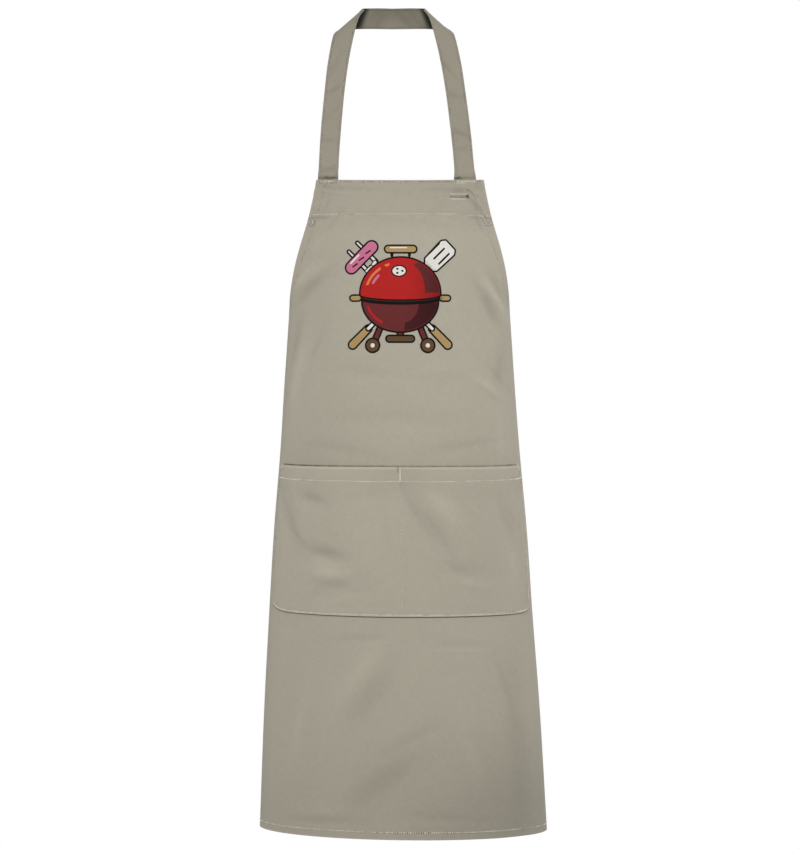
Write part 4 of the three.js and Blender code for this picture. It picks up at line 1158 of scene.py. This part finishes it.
rim = 1 - POCKET_STITCH / POCKET_HALF_WIDTH
line, fall = np.linspace(-1, 1, 300), np.linspace(1, POCKET_DEPTH - POCKET_STITCH, 200)
pocket_paths = [
    (line * (rim + 0.006), mouth_seam(line)),
    (line * rim, POCKET_DEPTH - POCKET_STITCH + 0 * line),
    (0.0075 + 0 * fall, np.linspace(MOUTH_HEM + 12, POCKET_DEPTH - 1, 200)),
    (-rim + 0 * fall, fall),
    (rim + 0 * fall, fall),
]


def over_pocket(lift):
    """The pocket's surface at a height over its outer face."""
    return lambda scaled, below: on_pocket(scaled / POCKET_HALF_WIDTH, below, POCKET_OUTER + lift)


scaled_paths = [(share * POCKET_HALF_WIDTH, below) for share, below in pocket_paths]
pocket_seams = along_paths(over_pocket(0.3), scaled_paths[:2] + scaled_paths[4:])
thread_piece("pocket_stitches", pocket_seams, pale_thread, POCKET_STITCH_SIZE)
side_seams = along_paths(over_pocket(0.05), scaled_paths[3:4])
side_seams += along_paths(over_pocket(0.02), scaled_paths[2:3], pitch=MIDDLE_PITCH)
thread_piece("side_stitches", side_seams, light_khaki_thread, SIDE_STITCH_SIZE, 0.9)
hole_shadows += along_paths(over_pocket(0.02), scaled_paths[3:], shift=1.0)
small_hole_shadows += along_paths(over_pocket(0.02), scaled_paths[:2], shift=1.0)

along = np.linspace(3, strap_length - 3, 600)
foot = np.linspace(3, STRAP_WIDTH - 3, 40)
strap_paths = [(edge + 0 * along, along) for edge in (STRAP_STITCH, STRAP_WIDTH - STRAP_STITCH)]
strap_paths += [(foot, at + 0 * foot) for at in (STRAP_TUCK + 1.8, strap_length - STRAP_TUCK - 1.8)]


def over_strap(lift):
    """The strap's surface at a height over its outer face."""
    return lambda across, along: on_strap(across, along, STRAP_OUTER + lift)


strap_seams = along_paths(over_strap(0.05), strap_paths, facing=-1)
thread_piece("strap_stitches", strap_seams, khaki_thread, STRAP_STITCH_SIZE)
# the stitches on the strap's inner face, in painted shade
strap_seams = along_paths(over_strap(-STRAP_OUTER), strap_paths[:2])
thread_piece("strap_inner_stitches", strap_seams, shaded_khaki_thread, STRAP_STITCH_SIZE)
small_hole_shadows += along_paths(over_strap(0.02), strap_paths, facing=-1, shift=1.0)
thread_piece("needle_hole_shadows", hole_shadows, hole_shade, HOLE_SHADOW_SIZE, 0.8)
thread_piece("hem_needle_hole_shadows", small_hole_shadows, hole_shade, SMALL_HOLE_SHADOW_SIZE, 0.9)

# the same seams on the inner faces
inner_seams = along_paths(over_panel(-2.35), hem_paths, facing=-1)
behind_pocket = [pocket_place(share, below) for share, below in pocket_paths]
inner_seams += along_paths(over_panel(-0.95), behind_pocket, facing=-1)
thread_piece("inside_stitches", inner_seams, pale_thread, INSIDE_STITCH_SIZE)


# ---------------------------------------------------------------------------------------------
# Buttonhole and bar tacks: slanted threads of the same cotton along both lips of the slit and
# across it, a fine row below, and short thick tacks at the pocket's mouth and the strap's feet
SATIN_PITCH = 3.7
SATIN_WIDTH = 1.25
SATIN_HEIGHT = 1.0
LIP_PITCH = 1.9
TACK_PITCH = 0.55
LIP_THREAD = (2.0, 0.7, 0.5)
POCKET_TACK = (1.9, 0.55, 0.6)
FOOT_TACK = (1.7, 0.5, 0.5)

# each row of threads: places along the slit, height on the cloth, length, lean
slanted = [
    (np.arange(-12.4, 12, SATIN_PITCH), HOLE_DROP - 2.9, 2.7, 0.5),
    (np.arange(-10.8, 13, SATIN_PITCH), HOLE_DROP + 2.6, 2.4, -0.6),
    (np.arange(-10.2, 9, SATIN_PITCH), HOLE_DROP, 3.8, 0.6),
]
here = over_panel(0.2)
satin = []
for at, middle, reach, lean in slanted:
    x, y = HOLE_ACROSS + at, middle + 0.25 * np.sin(at * 5.1) + 0.3 * np.sin(at * 2.3 + 1)
    centre, side = here(x, y), here(x + 0.5, y) - here(x, y)
    along = unit(here(x + lean * (1 + 0.5 * np.sin(at * 3.7)), y + 1) - centre)
    satin.append((centre, along, unit(np.cross(along, side)), reach * (1 + 0.25 * np.sin(at * 4.3))))
centre, along, out, reach = (np.concatenate(parts) for parts in zip(*satin))
points, faces = threads(centre, along, out, reach, SATIN_WIDTH, SATIN_HEIGHT)
add_piece("buttonhole_satin", points, faces, [pale_thread])
lower_line = np.linspace(HOLE_ACROSS - 11, HOLE_ACROSS + 8, 40)
lip = [sewn(here, lower_line, HOLE_DROP + 3.6 + 0.3 * np.sin(lower_line), pitch=LIP_PITCH)]
thread_piece("buttonhole_lip", lip, pale_thread, LIP_THREAD)


def bar_tack(surface, first, second, lean):
    """Places of a bar tack's threads: a close zigzag across a short line on a surface."""
    centre, along, out = sewn(surface, first, second, pitch=TACK_PITCH)
    slant = np.where(np.arange(len(centre)) % 2 == 0, lean, -lean)[:, None]
    return centre, unit(np.cross(out, along) + slant * along), out


line = np.linspace(0, 1, 9)
tacks = [bar_tack(over_pocket(0.1), end + 0 * line, 0.8 + 5.7 * line, 0.35) for end in (-200.8, 200.8)]
tacks.append(bar_tack(over_pocket(0.1), 0 * line, 0.8 + (MOUTH_HEM - 0.8) * line, 0.3))
thread_piece("bar_tacks", tacks, pale_thread, POCKET_TACK)
feet = [STRAP_SEAT_SHIFT + side * STRAP_SEAT + at for side in (-1, 1) for at in (-13.2, 13.2)]
tacks = [bar_tack(over_panel(0.1), foot + 0 * line, 1.2 + 4.2 * line, 0.3) for foot in feet]
thread_piece("foot_tacks", tacks, khaki_thread, FOOT_TACK)


# ---------------------------------------------------------------------------------------------
# Chest print: a thin film of screen ink in flat colours with black outlines, an emblem of a kettle
# grill before a crossed spatula and fork. It lies on the bib's twill and follows its folds
PRINT_ACROSS = 1
PRINT_DOWN = 160
OUTLINE = 2.3
INK_TOP = 0.2
INK_FOOT = -0.3


def round_shape(x, y, wide, tall, start=0, end=360, steps=72):
    """Points round an ellipse, or along its arc between two angles that run clockwise from +x."""
    turn = np.radians(np.linspace(start, end, steps, endpoint=abs(end - start) < 360))
    return np.stack([x + wide * np.cos(turn), y + tall * np.sin(turn)], -1)


def bar(x0, y0, x1, y1, first, last=None, ends=10):
    """Points round a straight bar with round ends, of a width at each end."""
    last = last or first
    turn = math.atan2(y1 - y0, x1 - x0)
    arcs = []
    for x, y, width, lean in ((x0, y0, first, math.pi / 2), (x1, y1, last, -math.pi / 2)):
        angle = turn + lean + np.linspace(0, math.pi, ends)
        arcs.append(np.stack([x + width / 2 * np.cos(angle), y + width / 2 * np.sin(angle)], -1))
    return np.concatenate(arcs)


def dense(outline, step=2.0):
    """The same closed outline with points at most a step apart."""
    parts = []
    for here, there in zip(outline, np.roll(outline, -1, axis=0)):
        count = max(1, math.ceil(np.linalg.norm(there - here) / step))
        parts.append(here + (there - here) * np.arange(count)[:, None] / count)
    return np.concatenate(parts)


def grown(outline, margin):
    """The outline moved outwards by a margin, each point along the middle of its two edges' normals."""
    ahead, behind = np.roll(outline, -1, axis=0) - outline, outline - np.roll(outline, 1, axis=0)
    normal = unit(unit(ahead)[:, ::-1] * [1, -1] + unit(behind)[:, ::-1] * [1, -1] + 1e-9)
    x, y = outline.T
    turns = (x * np.roll(y, -1) - y * np.roll(x, -1)).sum()
    return outline + normal * margin * (1 if turns > 0 else -1)


def covers(outline, points):
    """Whether points lie in a closed outline: an odd number of its edges is to their right."""
    x, y = points[:, :1], points[:, 1:]
    (x0, y0), (x1, y1) = outline.T, np.roll(outline, -1, axis=0).T
    crossed = (y0 > y) != (y1 > y)
    rise = np.where(y1 == y0, 1.0, y1 - y0)
    return (crossed & (x < x0 + (y - y0) * (x1 - x0) / rise)).sum(axis=1) % 2 == 1


INK_COLOURS = {
    "black": "#0D0B0A",
    "red": "#B02220",
    "maroon": "#662A2B",
    "deep_maroon": "#43181A",
    "tan": "#A98D5F",
    "brown": "#5E4630",
    "pink": "#C4708F",
    "cream": "#DEDAD3",
    "orange": "#D9774A",
}
BLACK, RED, MAROON, DEEP, TAN, BROWN, PINK, CREAM, ORANGE = range(len(INK_COLOURS))
layers = []


def drawn(outline, ink, rim=OUTLINE):
    """Adds a shape to the drawing, above the earlier ones, with a black rim round it."""
    outline = dense(outline)
    if rim:
        layers.append((grown(outline, rim), BLACK))
    layers.append((outline, ink))


# spatula: handle at the lower left, slotted blade at the upper right
drawn(bar(-66, 68, -44, 46, 10, 8), TAN)
drawn(bar(-44, 46, 40, -38, 4), CREAM)
blade = np.array([[34, -50], [56, -74], [62, -75], [75, -62], [74, -56], [50, -34], [42, -33], [34, -42]])
drawn(blade, CREAM)
for shift in (-7, 0, 7):
    drawn(bar(46 + shift, -50 + shift, 60 + shift, -64 + shift, 2.6), BLACK, 0)
# fork: handle at the lower right, two prongs at the upper left through a sausage
drawn(bar(66, 68, 44, 46, 10, 8), TAN)
drawn(bar(44, 46, -40, -38, 4), CREAM)
drawn(bar(-34, -46, -60, -72, 3.2, 2), CREAM)
drawn(bar(-46, -34, -72, -60, 3.2, 2), CREAM)
drawn(bar(-40, -38, -35, -45, 4), CREAM, 1.4)
drawn(bar(-40, -38, -46, -33, 4), CREAM, 1.4)
drawn(bar(-68, -38, -40, -66, 15), PINK)
for shift in (-9, 0, 9):
    drawn(bar(-57 + shift, -48 - shift, -51 + shift, -56 - shift + 4, 2.2), DEEP, 0)
drawn(bar(-69, -44, -58, -55, 2.2), CREAM, 0)
# legs, wheels and the ash catcher
for side in (-1, 1):
    drawn(bar(side * 24, 36, side * 38, 70, 5.5), MAROON)
    drawn(round_shape(side * 38, 69, 8.5, 8.5), BROWN)
    drawn(round_shape(side * 38, 69, 3, 3), CREAM, 0)
drawn(bar(0, 40, 0, 58, 6), MAROON)
drawn(bar(-15, 60, 15, 60, 7), BROWN)
# bowl
bowl = np.concatenate([round_shape(0, 8, 52, 42, 0, 180, 60), [[-52, 3], [52, 3]]])
drawn(bowl, MAROON)
right_bowl = np.concatenate([round_shape(0, 8, 51, 41, 4, 84, 40), round_shape(4, 8, 22, 30, 84, 4, 40)])
drawn(right_bowl, DEEP, 0)
left_bowl = np.concatenate([round_shape(0, 8, 47, 37, 122, 168, 24), round_shape(0, 8, 44, 33, 168, 122, 24)])
drawn(left_bowl, RED, 0)
# lid
lid = np.concatenate([round_shape(0, -1, 55, 50, 180, 360, 80), round_shape(0, -1, 55, 7, 0, 180, 40)[1:-1]])
drawn(lid, RED)
right_lid = np.concatenate([round_shape(0, -1, 54, 49, -64, -3, 40), round_shape(10, -3, 24, 40, 0, -72, 40)])
drawn(right_lid, MAROON, 0)
for reach, low, high in ((0.9, 196, 236), (0.78, 202, 226), (0.9, 243, 252)):
    arc = round_shape(0, -1, 55 * reach, 50 * reach, low, high, 24)
    inner_arc = round_shape(0, -1, 55 * reach - 3.4, 50 * reach - 3.4, high - 2, low + 2, 24)
    drawn(np.concatenate([arc, inner_arc]), ORANGE if reach > 0.8 else PINK, 0)
# rim between them, with side handles, and the lid's handle and vent
rim_band = [round_shape(0, 1, 57, 8, 0, 180, 50), round_shape(0, 5.5, 57, 8, 180, 0, 50)]
drawn(np.concatenate(rim_band), BLACK, 0)
for side in (-1, 1):
    drawn(bar(side * 58, 4, side * 66, 4, 6), TAN)
drawn(bar(-12, -54, -12, -61, 4), BLACK, 0)
drawn(bar(12, -54, 12, -61, 4), BLACK, 0)
drawn(bar(-17, -63, 17, -63, 8), TAN)
drawn(bar(-14, -65, 8, -65, 1.8), CREAM, 0)
drawn(round_shape(-2, -33, 9, 6.5), CREAM, 1.8)
for turn in (0, 120, 240):
    at = round_shape(-2, -33, 4.6, 3.2, turn, turn + 359, 3)[0]
    drawn(round_shape(at[0], at[1], 1.8, 1.4, steps=14), BLACK, 0)

# the drawing is cut into triangles along every outline, on a lattice that lets it follow the folds,
# and each triangle takes the ink of the topmost shape that covers it
lattice = np.stack(np.meshgrid(np.arange(-80, 81, 4.0), np.arange(-80, 81, 4.0)), -1).reshape(-1, 2)
corners = np.concatenate([lattice, *(outline for outline, _ in layers)])
links, first = [], len(lattice)
for outline, _ in layers:
    order = np.arange(len(outline))
    links.append(np.stack([first + order, first + np.roll(order, -1)], -1))
    first += len(outline)
flat, _, triangles, *_ = mathutils.geometry.delaunay_2d_cdt(
    [mathutils.Vector(corner) for corner in corners.tolist()], np.concatenate(links).tolist(), [], 0, 1e-4
)
flat, triangles = np.array([tuple(corner) for corner in flat]), np.array(triangles)
middles = flat[triangles].mean(axis=1)
ink = np.full(len(triangles), -1)
for outline, colour in layers:
    ink[covers(outline, middles)] = colour
triangles, ink = triangles[ink >= 0], ink[ink >= 0]
used, triangles = np.unique(triangles, return_inverse=True)
flat, triangles = flat[used], triangles.reshape(-1, 3)
on_cloth = flat + [PRINT_ACROSS, PRINT_DOWN]

# both faces of the film, turned outwards, and its rim
top, bottom = (over_panel(lift)(on_cloth[:, 0], on_cloth[:, 1]) for lift in (INK_TOP, INK_FOOT))
ways = np.cross(top[triangles[:, 1]] - top[triangles[:, 0]], top[triangles[:, 2]] - top[triangles[:, 0]])
triangles[ways[:, 1] > 0] = triangles[ways[:, 1] > 0][:, ::-1]
start, end = triangles.ravel(), np.roll(triangles, -1, axis=1).ravel()
count = len(flat)
bare = ~np.isin(start * count + end, end * count + start)
walls = np.stack([end[bare], start[bare], start[bare] + count, end[bare] + count], -1)
faces = triangles.tolist() + (triangles[:, ::-1] + count).tolist() + walls.tolist()
choice = np.concatenate([ink, ink, np.repeat(ink, 3)[bare]])

# the kettle's right side is a little darker, so that it looks round
fade = 0.45 * ramp(flat[:, 0], 4, 52) ** 1.5 * (np.hypot(*flat.T) < 58)
inks = [cotton_twill(f"{name}_ink_on_twill", colour) for name, colour in INK_COLOURS.items()]
for printed in inks:
    ink_shader = printed.node_tree.nodes["Principled BSDF"]
    ink_shader.inputs["Roughness"].default_value = 0.7
    ink_shader.inputs["Sheen Weight"].default_value = 0.0
    ink_shader.inputs["Specular IOR Level"].default_value = 0.12
add_piece(
    "chest_print",
    np.concatenate([top, bottom]),
    faces,
    inks,
    np.concatenate([on_cloth, on_cloth]),
    {"shaded": np.concatenate([fade, fade])},
    choice,
)
